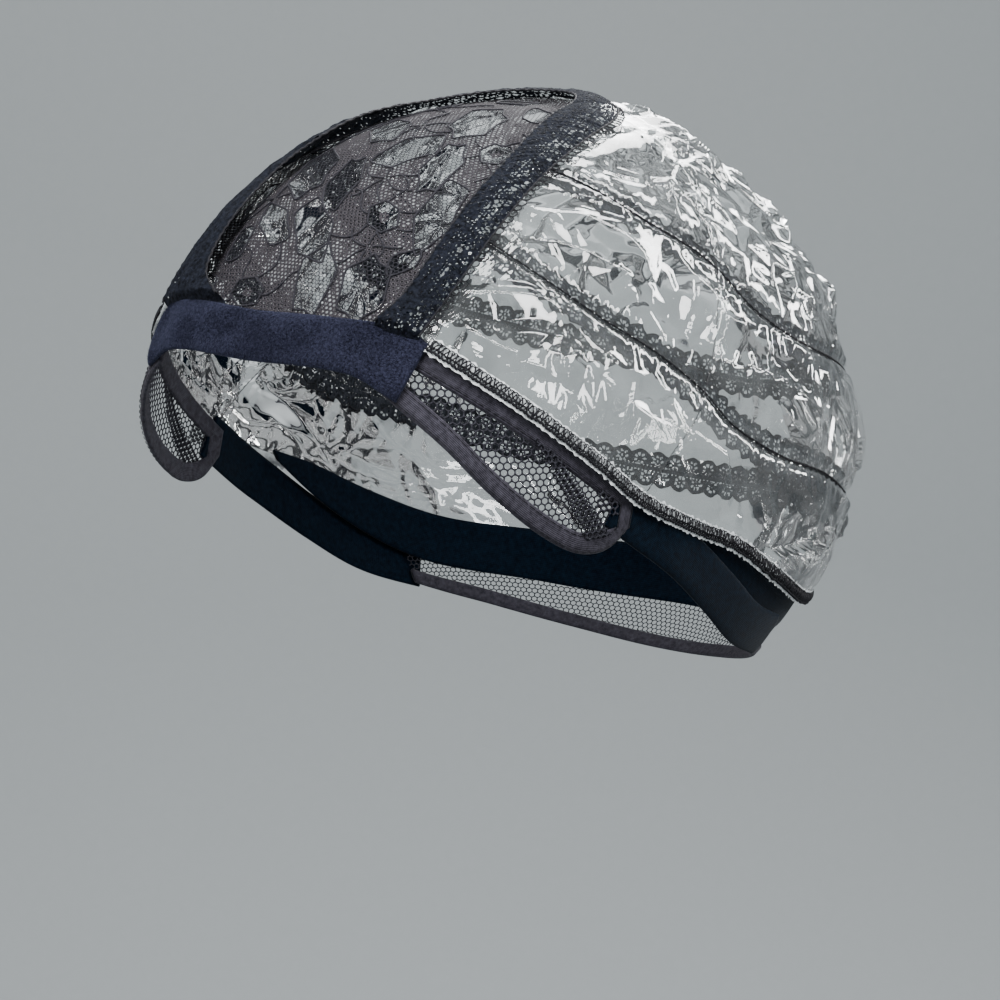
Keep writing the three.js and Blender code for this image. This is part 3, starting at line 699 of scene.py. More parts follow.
def front_band():
    """Velvet band with soft rims, run on a little at both ends, its pile standing off."""
    length = band_top.length
    wave = lambda u, v: 0.35 * noise(np.stack([u * 9, v * 1.5, u * 0 + 4.2], -1), 3)
    place = lambda u, v: band_place(mix(-BAND_TUCK, 1 + BAND_TUCK, u), v)
    mesher = shell(place, lambda u, v: BAND_LIFT, BAND_THICK, 240, 36, (length, 16), relief=wave)
    band = mesher.build("band_velvet", VELVET)
    rng = np.random.default_rng(11)
    count = 26000
    u, v = rng.random(count), rng.random(count)
    dirs = place(u, v)
    root = on_form(dirs, BAND_LIFT + BAND_THICK - 0.12 - 0.9 * np.abs(2 * v - 1) ** 6)
    lean = rng.normal(size=(count, 3)) * 0.45
    tip = root + (unit(normal_at(root) + lean)) * rng.uniform(0.35, 0.8, (count, 1))
    half = unit(np.cross(tip - root, rng.normal(size=(count, 3)))) * 0.05
    hairs = np.stack([root - half, root + half, tip], 1)
    pile = Mesher().add(hairs, np.arange(count * 3).reshape(-1, 3)).build("band_pile", VELVET)
    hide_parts("front_band")


LACE_SPREAD_A, LACE_SPREAD_B = 76.5, 99.3


def lace_direction(flat):
    """From the lace's flat pattern to a direction on the form."""
    turn, tip = flat[..., 0] / LACE_SPREAD_A, flat[..., 1] / LACE_SPREAD_B
    x = HALF_WIDTH * np.sin(turn)
    y = -FRONT_DEPTH * np.cos(turn) * np.sin(tip)
    return unit(np.stack([x, y, CROWN_HEIGHT * np.cos(turn) * np.cos(tip)], -1))


def lace_flat(dirs):
    shape = np.array([HALF_WIDTH, FRONT_DEPTH, CROWN_HEIGHT])
    ball = unit(dirs / shape)
    a = np.arcsin(ball[..., 0]) * LACE_SPREAD_A
    return np.stack([a, np.arctan2(-ball[..., 1], ball[..., 2]) * LACE_SPREAD_B], -1)


def window_outline(row, size=1.0, points=96):
    """A clear window: a hexagon at a flower's heart, or a patch with hollow sides between petals."""
    turn = np.linspace(0, 2 * np.pi, points, endpoint=False)
    if row["cusps"]:
        dip = np.abs(np.sin(row["cusps"] * turn / 2 + row["a"]))
        edge = 1.1 - WINDOW_CUSP * dip + 0.08 * np.cos(2 * turn + row["b"])
    else:
        edge = 0.95 / np.cos((turn + np.pi / 6) % (np.pi / 3) - np.pi / 6) ** 0.9
    x = row["long"] * size * np.cos(turn) * edge
    y = row["wide"] * size * np.sin(turn) * edge
    tilt = math.radians(row["turn"])
    spin = np.array([[math.cos(tilt), math.sin(tilt)], [-math.sin(tilt), math.cos(tilt)]])
    return np.stack([x, y], -1) @ spin + [row["a"], row["b"]]


def lace_panel():
    """Net with filled leaves and clear windows, outlined by fine cords."""
    share = np.linspace(0, 1, 160)
    front = lace_flat(band_place(mix(0.13, 0.87, share), np.full(160, 0.6)))
    rim = lace_flat(trim_place(share, np.full(160, 0.7)))
    outline = np.vstack([rim[::-1], front])

    def lift(flat):
        gap = np.full(flat.shape[:-1], np.inf)
        for spot in rim[::2]:
            gap = np.minimum(gap, np.linalg.norm(flat - spot, axis=-1))
        front_gap = smooth(np.abs(flat[..., 1] - front[:, 1].max()), 2, 12)
        return 0.5 + FILM_LIFT * (1 - smooth(gap, 0, 9)) * front_gap

    strands = hexagons(outline, LACE_PITCH)
    drift = noise(np.concatenate([strands / 7, strands[..., :1] * 0], -1), 5)
    strands = strands + np.stack([drift, np.roll(drift, 1)], -1) * 0.12
    middle = strands.mean(1)
    windows = [window_outline(row) for row in LACE_WINDOWS]
    cores = [window_outline(row, LEAF_CORE) for row in LACE_WINDOWS if not row["cusps"]]
    clear = np.any([inside(middle, edge) for edge in windows], axis=0)
    clear &= ~np.any([inside(middle, edge) for edge in cores], axis=0)
    steps = np.linspace(0, 1, 3)
    mesher = Mesher()
    every = np.full(len(strands), True)
    for chosen, half, slot, rise in ((~clear, 0.3, 1, 0), (every, 0.095, 0, 0.12)):
        flat = mix(strands[chosen][:, :1], strands[chosen][:, 1:], steps[:, None])
        wide = half * (1 + 0.3 * np.abs(2 * steps - 1) ** 2)
        paths = on_form(lace_direction(flat), lift(flat) + rise)
        mesher.add(*sweep(paths, np.broadcast_to(wide, flat.shape[:2]), 2), slot=slot)
    net = mesher.build("panel_net", LACE_THREAD, LACE_FILL)
    cords = Mesher()
    for edge in windows:
        edge = edge[inside(edge, outline)]
        if len(edge) > 30:
            runs = np.linalg.norm(np.diff(edge, axis=0, append=edge[:1]), axis=1)
            edge = np.roll(edge, -int(runs.argmax()) - 1, axis=0)
            cords.add(*sweep(on_form(lace_direction(edge), lift(edge) + 0.3)[None], 0.3, 5, 0.7))
    for flower in LACE_FLOWERS:
        for turn in np.radians(np.arange(0, 360, 60) + flower["a"] * 7):
            far = np.linspace(flower["inner"], flower["outer"], 24)
            bend = turn + 0.28 * np.sin(far / 3.1 + turn)
            ray = np.stack([flower["a"] + far * np.cos(bend), flower["b"] + far * np.sin(bend)], -1)
            blocked = np.any([inside(ray, edge) for edge in windows], axis=0) | ~inside(ray, outline)
            blocked[:3] = False
            stop = int(blocked.argmax()) if blocked.any() else len(ray)
            if stop > 4:
                path = on_form(lace_direction(ray[:stop]), lift(ray[:stop]) + 0.3)
                cords.add(*sweep(path[None], 0.26, 5, 0.7))
    outlines = cords.build("panel_cords", LACE_THREAD)
    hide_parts("lace_panel")


TRIM_WIDTH = 13
TRIM_TUCK = 0.016
TRIM_END_DIP = 3.3
FAR_TRIM_WIDER = 1.25


def dressed_trim(u, v):
    """The trim runs on under the band's ends, and its far arm is pulled wide over the lace."""
    wider = FAR_TRIM_WIDER * smooth(u, 0.62, 0.76) + 0.35 * smooth(u, 0.9, 1)
    return trim_place(mix(-TRIM_TUCK, 1 + TRIM_TUCK, u), v * (1 + wider))


def crown_trim():
    """Gathered stretch lace: small openings over its outer half and a chain of loops at the edge."""
    columns, rows = 1100, 40
    u, v = grid_uv(columns, rows)
    along = u * trim_outer.length * (1 + 2 * TRIM_TUCK)
    far_side = smooth(u, 0.6, 0.76)
    across = v * TRIM_WIDTH * (1 + FAR_TRIM_WIDER * far_side)
    lean = along + across * (0.3 + 0.7 * far_side)
    gather = noise(np.stack([lean / 1.6, across / 7, along * 0 + 7], -1), 21)
    tuck = noise(np.stack([lean / 4.6, across / 12, along * 0 + 2], -1), 22)
    lumps = noise(np.stack([along / 1.1, across / 1.1, along * 0], -1), 23)
    arch = TRIM_ARCH * np.sin(np.pi * v) * (1 - 0.6 * far_side)
    relief = arch + 0.24 * gather + 0.34 * tuck * (0.5 + 1.3 * far_side) + 0.12 * lumps
    dirs = dressed_trim(u, v)
    to_end = np.minimum(along, along.max() - along)
    dip = TRIM_END_DIP * (1 - smooth(to_end, 1.5, 5))
    points = on_form(dirs, TRIM_LIFT + TRIM_THICK * 0.7 + relief - dip)
    faces = grid_faces(columns, rows)
    mid = lambda grid: (grid[:-1, :-1] + grid[1:, 1:]) / 2
    s, w, far = mid(along), mid(across), mid(far_side)
    wander = np.stack([s / 5, w / 4, s * 0], -1)
    hole = np.zeros(s.shape, bool)
    for pitch, biggest, low, high, seed in ((1.75, 0.66, 0.3, 8.5, 31), (1.15, 0.36, 0.2, 12.6, 35)):
        cell_s = s / pitch + 0.45 * noise(wander, seed)
        cell_w = w / (pitch * 0.9) + 0.45 * noise(wander, seed + 1)
        cell_s = cell_s + 0.5 * (np.floor(cell_w) % 2)
        off_s = (cell_s - np.round(cell_s)) * pitch
        off_w = (cell_w - np.floor(cell_w) - 0.5) * pitch * 0.9
        rate = noise(np.stack([np.round(cell_s) * 0.43, np.floor(cell_w) * 0.71, s * 0 + 9], -1), seed + 2)
        band = smooth(w, low, low + 0.8) * (1 - smooth(w, high - 2.5, high)) * (1 - 0.75 * far)
        hole |= np.hypot(off_s, off_w) < biggest * (0.45 + 0.95 * rate) * band
    mesher = Mesher().add(points, faces[~hole.ravel()], np.stack([along, across], -1))
    trim = mesher.build("trim_lace", TRIM_LACE)
    loops = int(trim_outer.length / 2.3)
    share = (np.arange(loops) + 0.5) / loops
    turn = np.linspace(0, 2 * np.pi, 14, endpoint=False)
    rng = np.random.default_rng(29)
    size = 1.12 * rng.uniform(0.85, 1.15, (loops, 1))
    centre = share[:, None] + size / trim_outer.length * np.cos(turn)
    reach_out = -(0.85 + size * np.sin(turn)) / TRIM_WIDTH
    paths = on_form(trim_place(centre, reach_out), TRIM_LIFT + 0.55 + 0 * centre)
    picots = Mesher().add(*sweep(paths, 0.17, 4, close=True))
    edges = np.linspace(0.012, 0.988, 800)
    for level, thick, height in ((0.01, 0.3, 0.8), (0.995, 0.32, 0.7)):
        wobble = 0.12 * np.sin(edges * trim_outer.length * 2.4)
        edge_path = dressed_trim(edges, np.full(800, level))
        picots.add(*sweep(on_form(edge_path, TRIM_LIFT + height + wobble)[None], thick, 5))
    chain = picots.build("trim_loops", BLACK_THREAD)
    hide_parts("crown_trim")


FILM_SHARE = 0.42


def film_top(t):
    return trim_place(t, np.full(np.shape(t), FILM_SHARE))


SEAM_TOP = nearest(film_top, direction(*SEAM_LINE[-1]))
HEM_SEAM = nearest(hem_line.at, direction(*SEAM_LINE[0]))


FOLD_LINE = (0.2, 0.8, -0.55)
CROSS_FOLD_LINE = (-0.1, 0.45, 0.9)
ROW_PINCH = 0.9


def film_height(dirs, points):
    """Height of the film's folds: smooth swells and flat facets, pinched and puckered at each seam."""
    near = np.where(points[..., :1] < 0, points * [-1, 1, 1], points)
    to_upper, along_upper = nearest_on(upper_row, points)
    to_lower, along_lower = nearest_on(lower_row, points)
    to_hem, along_hem = nearest_on(hem_line, points)
    to_trim, along_trim = nearest_on(trim_outer, points)
    to_seam, along_seam = nearest_on(seam_line, near)
    to_row = np.minimum(to_upper, to_lower)
    free = 1 - np.exp(-(to_row / 9) ** 2)
    free = free * smooth(to_hem, 1, 15) * smooth(to_trim, 0, 16)
    drift = points + noise(points / 26, 40)[..., None] * 8
    swell = 1.7 * noise(drift / [30, 40, 26], 41) + 0.7 * noise(drift / 17, 42)
    large = facets(drift, 18, 2.8, FOLD_LINE, 43) * 0.2
    busy = smooth(noise(points / 24, 48), -0.3, 0.4)
    medium = facets(drift, 9, 2.4, CROSS_FOLD_LINE, 45) * 0.22 * (0.1 + 0.9 * busy)
    medium = medium * (1 + 0.7 * smooth(np.abs(longitude(dirs)), 80, 120))
    height = 0.7 + (swell + large) * (0.2 + 0.8 * free) + medium * (0.3 + 0.7 * free)
    folds = noise(drift / [20, 44, 34], 50)
    crest = np.exp(-(folds / 0.055) ** 2) * smooth(noise(points / 30, 51), -0.05, 0.4)
    fine_folds = noise(drift / [15, 16, 30], 52)
    fine_crest = np.exp(-(fine_folds / 0.07) ** 2) * smooth(noise(points / 22, 53), 0.1, 0.5)
    height = height + (0.9 * crest + 0.5 * fine_crest) * (0.3 + 0.7 * free)
    wander = noise(points / 14, 47)
    for gap, along, pitch, depth, spread in (
        (to_upper, along_upper, 4.4, 0.75, 5.0),
        (to_lower, along_lower, 4.4, 0.75, 5.0),
        (to_hem, along_hem, 6.0, 0.7, 5),
        (to_trim, along_trim, 7.0, 0.7, 6),
        (to_seam, along_seam, 7.0, 0.9, 6),
    ):
        pleat = noise(np.stack([along / pitch + wander * 0.5, gap / 14, along * 0 + pitch], -1), 49)
        pleat = 1 - np.minimum(1, np.abs(pleat) * 2.6)
        height = height + depth * pleat * np.exp(-(gap / spread) ** 2) * smooth(gap, 0, 1.8)
    height = height * (1 - 0.8 * np.exp(-(to_row / 1.5) ** 2))
    height = height * (0.15 + 0.85 * smooth(to_trim, 0, 7)) * (0.2 + 0.8 * smooth(to_hem, 0, 5))
    pinch = ROW_PINCH * np.exp(-(to_row / 2.2) ** 2)
    high = smooth(np.abs(longitude(dirs)), 96, 140) * np.exp(-((latitude(dirs) - 57) / 8) ** 2)
    return FILM_LIFT + 0.3 + np.maximum(height, -0.3) - pinch + 2.2 * high * smooth(to_trim, 6, 18)


def film_panel(name, node, place, columns, rows, flip=False):
    u, v = grid_uv(columns, rows)
    dirs = place(u, v)
    points = on_form(dirs)
    mesher = Mesher().add(on_form(dirs, film_height(dirs, points)), grid_faces(columns, rows))
    made = mesher.build(name, FILM, flip=flip)
    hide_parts(node)


def film_panels():
    seam_dir = lambda v: seam_line.at(v)
    side_bottom = lambda t: hem_line.at(t * HEM_SEAM)
    side_top = lambda t: film_top(0.006 + (SEAM_TOP - 0.006) * t)
    front = lambda t: between(side_bottom(np.zeros_like(t)), side_top(np.zeros_like(t)), t)
    low = lambda t: between(side_bottom(t), seam_dir(np.zeros_like(t)), t ** 6)
    high = lambda t: between(side_top(t), seam_dir(np.ones_like(t)), t ** 6)
    side = patch(low, high, front, seam_dir)
    for end, flip in (("left", False), ("right", True)):
        film_panel(f"film_{end}", f"film_side_{end}", side, 170, 200, flip=flip)
    far_seam = lambda v: seam_dir(v) * [-1, 1, 1]
    ease = lambda t: np.maximum(t, 1 - t) ** 12
    pick = lambda t, v: np.where((t < 0.5)[..., None], seam_dir(v), far_seam(v))
    bottom = lambda t: between(hem_line.at(mix(HEM_SEAM, 1 - HEM_SEAM, t)), pick(t, t * 0), ease(t))
    top = lambda t: between(film_top(mix(SEAM_TOP, 1 - SEAM_TOP, t)), pick(t, t * 0 + 1), ease(t))
    back = patch(bottom, top, seam_dir, far_seam)
    film_panel("film_rear", "film_back", back, 330, 190)


def lace_row(name, node, line, seed):
    """Ruffled lace with scalloped edges and flowers of small openings, sewn down its middle."""
    columns, rows = int(line.length / 0.4), 30
    u, v = grid_uv(columns, rows)
    along = u * line.length
    spacing = 5.4
    scallop = 0.5 * ROW_WIDTH * (0.72 + 0.28 * np.abs(np.sin(np.pi * (along / spacing + 0.5 * (v > 0.5)))))
    across = (2 * v - 1) * scallop
    phase = noise(np.stack([along / 9, v * 0, v * 0 + seed], -1), seed)
    edge = np.abs(2 * v - 1)
    wave = np.sin(2 * np.pi * (along / 3.4 + phase + 0.3 * v)) * edge
    place = strip(line.at, lambda share: np.full(np.shape(share), 1.0))
    dirs = place(u, 0.5 + across + 0.25 * phase)
    lift = ROW_LIFT + 0.95 + 0.5 * wave * edge + 0.2 * phase
    points = on_form(dirs, lift)
    mid = lambda grid: (grid[:-1, :-1] + grid[1:, 1:]) / 2
    s, w = mid(along), mid(across)
    half = np.sign(w + 1e-9)
    centre = (np.floor(s / spacing + 0.25 * (half + 1)) + 0.5 - 0.25 * (half + 1)) * spacing
    ds, dw = s - centre, w - half * 2.45
    ring, turn = np.hypot(ds, dw), np.arctan2(dw, ds)
    petals = 7
    slice_off = (turn * petals / (2 * np.pi)) % 1 - 0.5
    tangent = slice_off * 2 * np.pi / petals * ring
    petal = (np.hypot((ring - 1.35) / 1.45, tangent) < 0.34) | (ring < 0.2)
    bar = (np.abs(np.abs(w) - 0.75) < 0.22) & (np.abs((s / 1.15) % 1 - 0.5) < 0.2)
    mesher = Mesher().add(points, grid_faces(columns, rows)[~(petal | bar).ravel()])
    ruffle = mesher.build(name, ROW_LACE)
    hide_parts(node)
    sewing = Mesher().add(*stitches(line.at, line.length, 2.4, FILM_LIFT + 0.8 - ROW_PINCH, 0.3, 0.98, 0.2))
    for column in (0, rows):
        sewing.add(*sweep(points[::2, column][None] + 0, 0.22, 4))
    seam = sewing.build(name + "_stitching", BLACK_THREAD)


def film_hem():
    """Overlocked edge: black thread thrown over the film's cut edge, which frays out white."""
    at = lambda t: hem_line.at(mix(0.002, 0.998, t))
    length = hem_line.length
    place = strip(at, lambda u: np.full(np.shape(u), 1.0))
    rng = np.random.default_rng(17)
    throws = int(length / 1.05)
    steps = np.linspace(0, 1, 6)
    base = (np.arange(throws)[:, None] + 0.5) / throws
    threads = Mesher()
    for lean, low, high in ((0.95, -0.42, 0.34), (-0.8, -0.42, 0.3)):
        shift = rng.normal(size=(throws, 1)) * 0.2
        top = high + rng.normal(size=(throws, 1)) * 0.07
        share = base + (lean * (steps - 0.5) + shift) / length
        across = 0.5 + mix(low, top, steps) * HEM_WIDTH
        height = HEM_LIFT + 0.1 + 0.6 * np.sin(np.pi * steps) + 0 * share
        threads.add(*sweep(on_form(place(share, across), height), 0.19, 4))
    fine = np.linspace(0, 1, 2000)
    wander = 0.12 * noise(np.stack([fine * length / 3, fine * 0, fine * 0], -1), 54)
    for level, size, thick in ((-0.42, 0.2, 0.34), (-0.16, 0.24, 0.22), (0.32, 0.3, 0.15)):
        loop = fine * length * 2 * np.pi / 1.1
        share = fine + size * np.sin(loop) / length
        across = 0.5 + (level + wander) * HEM_WIDTH + size * np.cos(loop)
        threads.add(*sweep(on_form(place(share, across), HEM_LIFT + 0.3)[None], thick, 4))
    hem = threads.build("hem_overlock", BLACK_THREAD)
    u, v = grid_uv(1200, 8)
    ruffle = noise(np.stack([u * length / 1.7, v * 2, v * 0 + 1], -1), 51)
    fray = noise(np.stack([u * length / 1.3, v * 0, v * 0 + 5], -1), 52)
    across = 0.5 + mix(-0.5 - 0.16 * (1 + fray), 0.34 + 0.2 * (1 + fray), v) * HEM_WIDTH
    points = on_form(place(u, across), HEM_LIFT - 0.1 + 0.3 * ruffle)
    edge = Mesher().add(points, grid_faces(1200, 8)).build("hem_film_edge", FILM_EDGE)
    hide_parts("film_hem")


def seam_threads():
    """Stitching that joins the side film to the back film."""
    for end, flip in (("left", False), ("right", True)):
        at = lambda t: seam_line.at(mix(0.02, 0.93, t))
        mesher = Mesher().add(*stitches(at, seam_line.length, 1.9, FILM_LIFT + 1.2, 0.17, 0.92))
        made = mesher.build(f"seam_thread_{end}", SEAM_THREAD, flip=flip)


FRONT_SHARE, REAR_SHARE = -0.04, 0.9


def tab_inset(u, inset, above):
    upper, lower = tab_top.at(u), tab_bottom.at(u)
    height = np.linalg.norm(on_form(upper) - on_form(lower), axis=-1)
    share = np.minimum(0.45, inset / height)
    return between(upper, lower, share) if above else between(lower, upper, share)


def flat_net(corners, centre, pitch, radius, lift, sides=4):
    """Hexagonal net over a small patch: corners are directions round its outline."""
    lon, lat = centre
    radius_here = float(reach(direction(lon, lat)))
    squeeze = math.cos(math.radians(lat))

    def to_flat(dirs):
        turn = (longitude(dirs) - lon + 540) % 360 - 180
        return np.radians(np.stack([turn * squeeze, latitude(dirs)], -1)) * radius_here

    def from_flat(flat):
        angle = np.degrees(flat / radius_here)
        return direction(lon + angle[..., 0] / squeeze, angle[..., 1])

    strands = hexagons(to_flat(corners), pitch)
    steps = np.linspace(0, 1, 3)
    flat = mix(strands[:, :1], strands[:, 1:], steps[:, None])
    knots = radius * (1 + 0.5 * np.abs(2 * steps - 1) ** 3)
    return sweep(on_form(from_flat(flat), lift), np.broadcast_to(knots, flat.shape[:2]), sides, 0.8)


def ear_tabs():
    share = np.linspace(0, 1, 60)
    wide = mix(FRONT_SHARE, REAR_SHARE, share)
    inset = EAR_BINDING_WIDTH - 1.2
    outline = np.vstack([tab_inset(wide, inset, True), tab_inset(wide, inset, False)[::-1]])
    net = Mesher().add(*flat_net(outline, (48, 12), EAR_NET_PITCH, 0.19, 0.9))

    foot = nearest(tab_bottom.at, direction(57.5, -2.8))
    head = nearest(tab_top.at, direction(51, 19.3))
    slide = PLEAT_WIDTH / 2 / tab_top.length
    sides = [(head + s, foot + s) for s in (-slide, slide)]
    rise = np.linspace(0, 1, 12)
    runs = [between(tab_inset(np.full(12, h), inset, True), tab_inset(np.full(12, f), inset, False), rise)
            for h, f in sides]
    pleat_outline = np.vstack([runs[0], runs[1][::-1]])
    pleat = Mesher()
    for pitch, lift in ((EAR_NET_PITCH, 1.9), (EAR_NET_PITCH * 0.93, 2.3)):
        pleat.add(*flat_net(pleat_outline, (53, 8), pitch, 0.24, lift))
    corner = np.vstack([tab_inset(np.array([0.8, 0.9]), inset, True), between(
        tab_inset(np.array([0.9, 0.8]), inset, True), tab_inset(np.array([0.9, 0.8]), inset, False), 0.45)])
    pleat.add(*flat_net(corner, (62, 5), EAR_NET_PITCH * 0.93, 0.24, 1.9))

    def ring(u, v):
        """Round the tab: along the top for the first half, back along the bottom for the second."""
        over = u < 0.5
        along = mix(FRONT_SHARE, 1, np.where(over, u * 2, 2 - 2 * u))
        inner_along = np.minimum(along, mix(along, REAR_SHARE, smooth(along, 0.6, 1)))
        outer = np.where(over[..., None], tab_top.at(along), tab_bottom.at(along))
        upper = tab_inset(inner_along, EAR_BINDING_WIDTH, True)
        lower = tab_inset(inner_along, EAR_BINDING_WIDTH, False)
        return between(outer, np.where(over[..., None], upper, lower), v)

    length = tab_top.length + tab_bottom.length
    pad = lambda u, v: (0.16 * noise(np.stack([u * 60, v * 2, u * 0], -1), 8)
                        - 0.3 * np.exp(-((v - 0.84) / 0.05) ** 2) - 0.2 * np.exp(-((v - 0.12) / 0.05) ** 2))
    for end, flip in (("left", False), ("right", True)):
        made_net = net.build(f"tab_net_{end}", NET_THREAD, flip=flip)
        made_pleat = pleat.build(f"tab_pleat_{end}", NET_THREAD, flip=flip)
        tape = (length, EAR_BINDING_WIDTH)
        edging = shell(ring, lambda u, v: 0.1, BINDING_THICK, 301, 12, tape, relief=pad)
        binding = edging.build(f"tab_binding_{end}", BINDING, flip=flip)
        sewn = Mesher()
        for level in (0.84, 0.14):
            at = lambda t: ring(np.clip(t, 0.002, 0.998), np.full(np.shape(t), level))
            sewn.add(*stitches(at, length, 2.1, 0.1 + BINDING_THICK, 0.12, 0.8))
        sewing = sewn.build(f"tab_stitching_{end}", BLACK_THREAD, flip=flip)
        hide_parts(f"ear_net_{end}")
        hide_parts(f"ear_pleat_{end}")
        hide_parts(f"ear_binding_{end}")


STRAP_TUCK = 0.13


def nape_pieces():
    band_at = lambda u, v: between(nape_bottom.at(u), nape_top.at(u), v)
    band = shell(band_at, lambda u, v: 0, ELASTIC_THICK, 300, 14, (nape_bottom.length, 11)).build(
        "nape_elastic", ELASTIC)
    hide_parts("nape_band")
    at = strip(lambda t: strap_line.at(mix(-STRAP_TUCK, 1, t)), lambda u: np.full(np.shape(u), STRAP_WIDTH))
    rise = lambda u, v: mix(0.3, STRAP_LIFT, smooth(u, 0.05, 0.3))
    roll = lambda u, v: 0.25 * np.exp(-((v - 0.97) / 0.03) ** 2)
    for end, flip in (("left", False), ("right", True)):
        mesher = shell(at, rise, ELASTIC_THICK, 120, 16, (strap_line.length, STRAP_WIDTH), relief=roll)
        strap = mesher.build(f"strap_elastic_{end}", ELASTIC, flip=flip)
        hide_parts(f"strap_{end}")
    start = nearest(nape_bottom.at, direction(115.5, -29.2))
    seat = lambda u: nape_bottom.at(mix(start, 1 - start, u))
    share = np.linspace(0, 1, 90)
    outline = np.vstack([seat(share), nape_edge.at(share)[::-1]])
    net = Mesher().add(*flat_net(outline, (180, -38), NAPE_NET_PITCH, 0.14, 0.7)).build("nape_mesh", NET_THREAD)

    def binding_place(u, v):
        top, bottom = seat(u), nape_edge.at(u)
        height = np.linalg.norm(on_form(top) - on_form(bottom), axis=-1)
        start_at = -0.35 / height - (1 - v) * NAPE_BINDING_WIDTH / height
        return unit(bottom + (top - bottom) * start_at[..., None])

    tape = (nape_edge.length, NAPE_BINDING_WIDTH)
    edging = shell(binding_place, lambda u, v: 0, BINDING_THICK, 200, 10, tape)
    binding = edging.build("nape_edging", BINDING)
    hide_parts("nape_net")
    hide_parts("nape_binding")


def film_edge_material():
    made, nodes, links, skin = material("white_film_edge")
    skin.inputs["Base Color"].default_value = (0.8, 0.84, 0.86, 1)
    skin.inputs["Roughness"].default_value = 0.3
    skin.inputs["Alpha"].default_value = 0.75
    crease = textured(nodes, links, "ShaderNodeTexNoise", 900, Detail=4.0)
    bump(nodes, links, crease.outputs["Fac"], skin, 0.5, 0.9)
    return made


FILM_EDGE = film_edge_material()

front_band()
lace_panel()
crown_trim()
film_panels()
lace_row("row_ruffle_upper", "lace_row_upper", upper_row, 61)
lace_row("row_ruffle_lower", "lace_row_lower", lower_row, 62)
film_hem()
seam_threads()
ear_tabs()
nape_pieces()


# Stage, light and camera

FLOOR_DROP = 1.3
BACKDROP_DISTANCE = 1.5


def stage():
    """Pale floor that curves up into a backdrop behind the cap."""
    turn = np.linspace(0, np.pi / 2, 24)
    curve = [(BACKDROP_DISTANCE + 0.6 * math.sin(a), 0.6 - 0.6 * math.cos(a)) for a in turn]
    profile = [(-2.5, 0.0)] + curve
    profile.append((BACKDROP_DISTANCE + 0.6, 3.2))
    away = np.array([-math.sin(math.radians(VIEW_TURN)), math.cos(math.radians(VIEW_TURN)), 0])
    side = np.array([away[1], -away[0], 0])
    points = [away * d + side * w + np.array([0, 0, h - FLOOR_DROP]) for d, h in profile for w in (-3, 3)]
    faces = [(2 * i, 2 * i + 1, 2 * i + 3, 2 * i + 2) for i in range(len(profile) - 1)]
    mesh = bpy.data.meshes.new("backdrop")
    mesh.from_pydata([tuple(p) for p in points], [], faces)
    mesh.polygons.foreach_set("use_smooth", [True] * len(faces))
    made, nodes, links, skin = material("backdrop_paper")
    tooth = textured(nodes, links, "ShaderNodeTexNoise", 120, Detail=3.0)
    colour = ramp(nodes, links, tooth.outputs["Fac"], (0.365, 0.392, 0.402), (0.385, 0.412, 0.422))
    links.new(colour.outputs["Color"], skin.inputs["Base Color"])
    skin.inputs["Roughness"].default_value = 0.9
    mesh.materials.append(made)
    ground = bpy.data.objects.new("backdrop", mesh)
    bpy.context.scene.collection.objects.link(ground)


# The camera stands VIEW_TURN degrees round from the front and VIEW_RISE degrees up, rolled a little.
VIEW_TURN = 42
VIEW_RISE = 14
VIEW_ROLL = -2.5
VIEW_DISTANCE = 0.8736
VIEW_SHIFT = (-0.00119, 0.00903)
LENS = 115.64


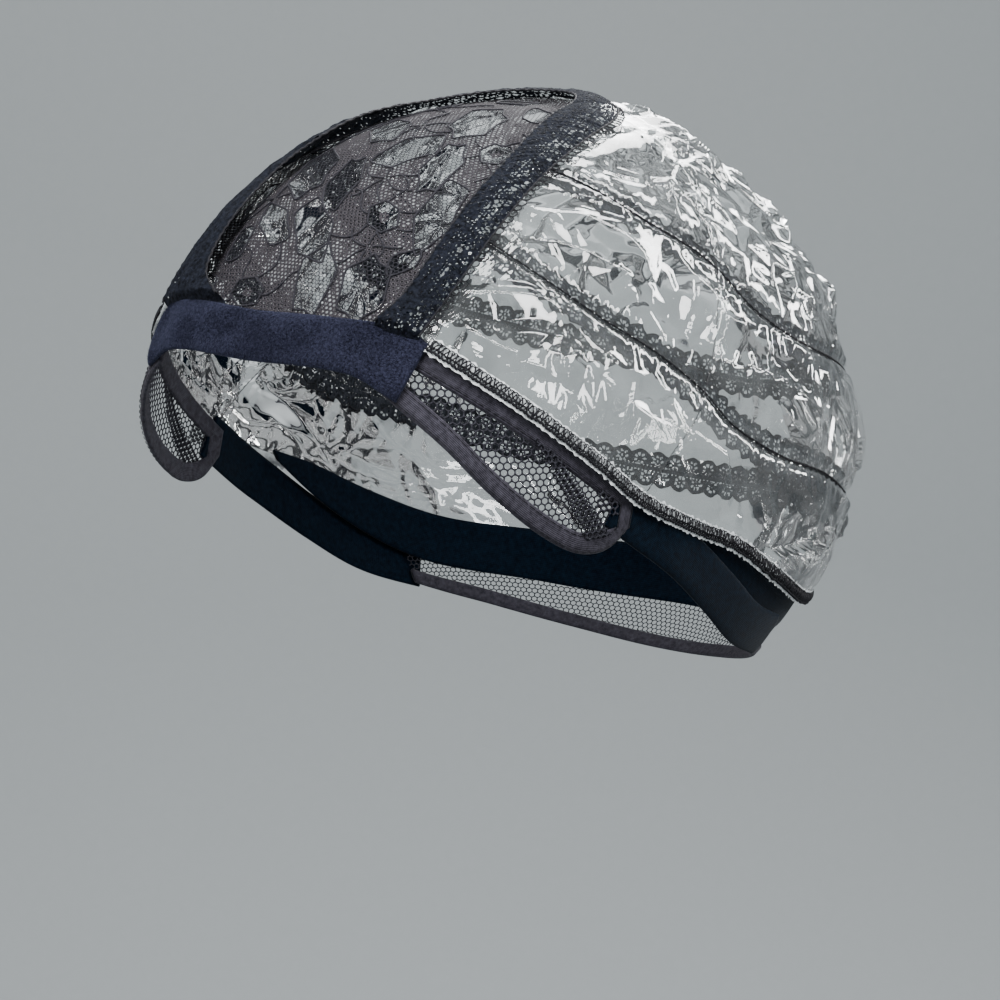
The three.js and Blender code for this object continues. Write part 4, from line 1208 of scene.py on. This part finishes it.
def camera():
    turn, rise, roll = (math.radians(a) for a in (VIEW_TURN, VIEW_RISE, VIEW_ROLL))
    back = np.array([math.sin(turn) * math.cos(rise), -math.cos(turn) * math.cos(rise), math.sin(rise)])
    right = np.array([math.cos(turn), math.sin(turn), 0])
    up = np.cross(back, right)
    along = math.cos(roll) * right + math.sin(roll) * up
    above = -math.sin(roll) * right + math.cos(roll) * up
    place = back * VIEW_DISTANCE - along * VIEW_SHIFT[0] - above * VIEW_SHIFT[1]
    place[2] -= CROWN_HEIGHT * MM
    data = bpy.data.cameras.new("camera")
    data.lens = LENS
    data.sensor_width = 36
    made = bpy.data.objects.new("camera", data)
    rows = [[along[k], above[k], back[k], place[k]] for k in range(3)] + [[0, 0, 0, 1]]
    made.matrix_world = Matrix(rows)
    bpy.context.scene.collection.objects.link(made)
    bpy.context.scene.camera = made


# Soft boxes: degrees round from the front, degrees up, metres away, width and height, power.
LIGHTS = [
    {"name": "key", "round": 12, "up": 50, "away": 1.3, "wide": 0.6, "high": 0.6, "power": 28},
    {"name": "side", "round": 100, "up": 34, "away": 1.3, "wide": 0.26, "high": 1.0, "power": 17},
    {"name": "back", "round": 203, "up": 34, "away": 1.4, "wide": 0.6, "high": 1.2, "power": 36},
    {"name": "rim", "round": 160, "up": 22, "away": 1.4, "wide": 0.2, "high": 1.2, "power": 20},
    {"name": "top", "round": 60, "up": 82, "away": 1.3, "wide": 0.9, "high": 0.25, "power": 11},
    {"name": "fill", "round": -55, "up": 12, "away": 1.5, "wide": 0.5, "high": 1.0, "power": 9},
]


def lights():
    for row in LIGHTS:
        data = bpy.data.lights.new(row["name"], "AREA")
        data.shape = "RECTANGLE"
        data.size, data.size_y = row["wide"], row["high"]
        data.energy = row["power"]
        made = bpy.data.objects.new(row["name"], data)
        aim = direction(row["round"], row["up"])
        made.location = aim * row["away"] + [0, 0, -CROWN_HEIGHT * MM]
        across = unit(np.cross([0, 0, 1], aim))
        over = np.cross(aim, across)
        spin = [[across[k], over[k], aim[k], made.location[k]] for k in range(3)] + [[0, 0, 0, 1]]
        made.matrix_world = Matrix(spin)
        bpy.context.scene.collection.objects.link(made)
    world = bpy.data.worlds.new("studio")
    world.use_nodes = True
    world.node_tree.nodes["Background"].inputs["Color"].default_value = (0.95, 0.98, 1, 1)
    world.node_tree.nodes["Background"].inputs["Strength"].default_value = 0.36
    bpy.context.scene.world = world


stage()
camera()
lights()
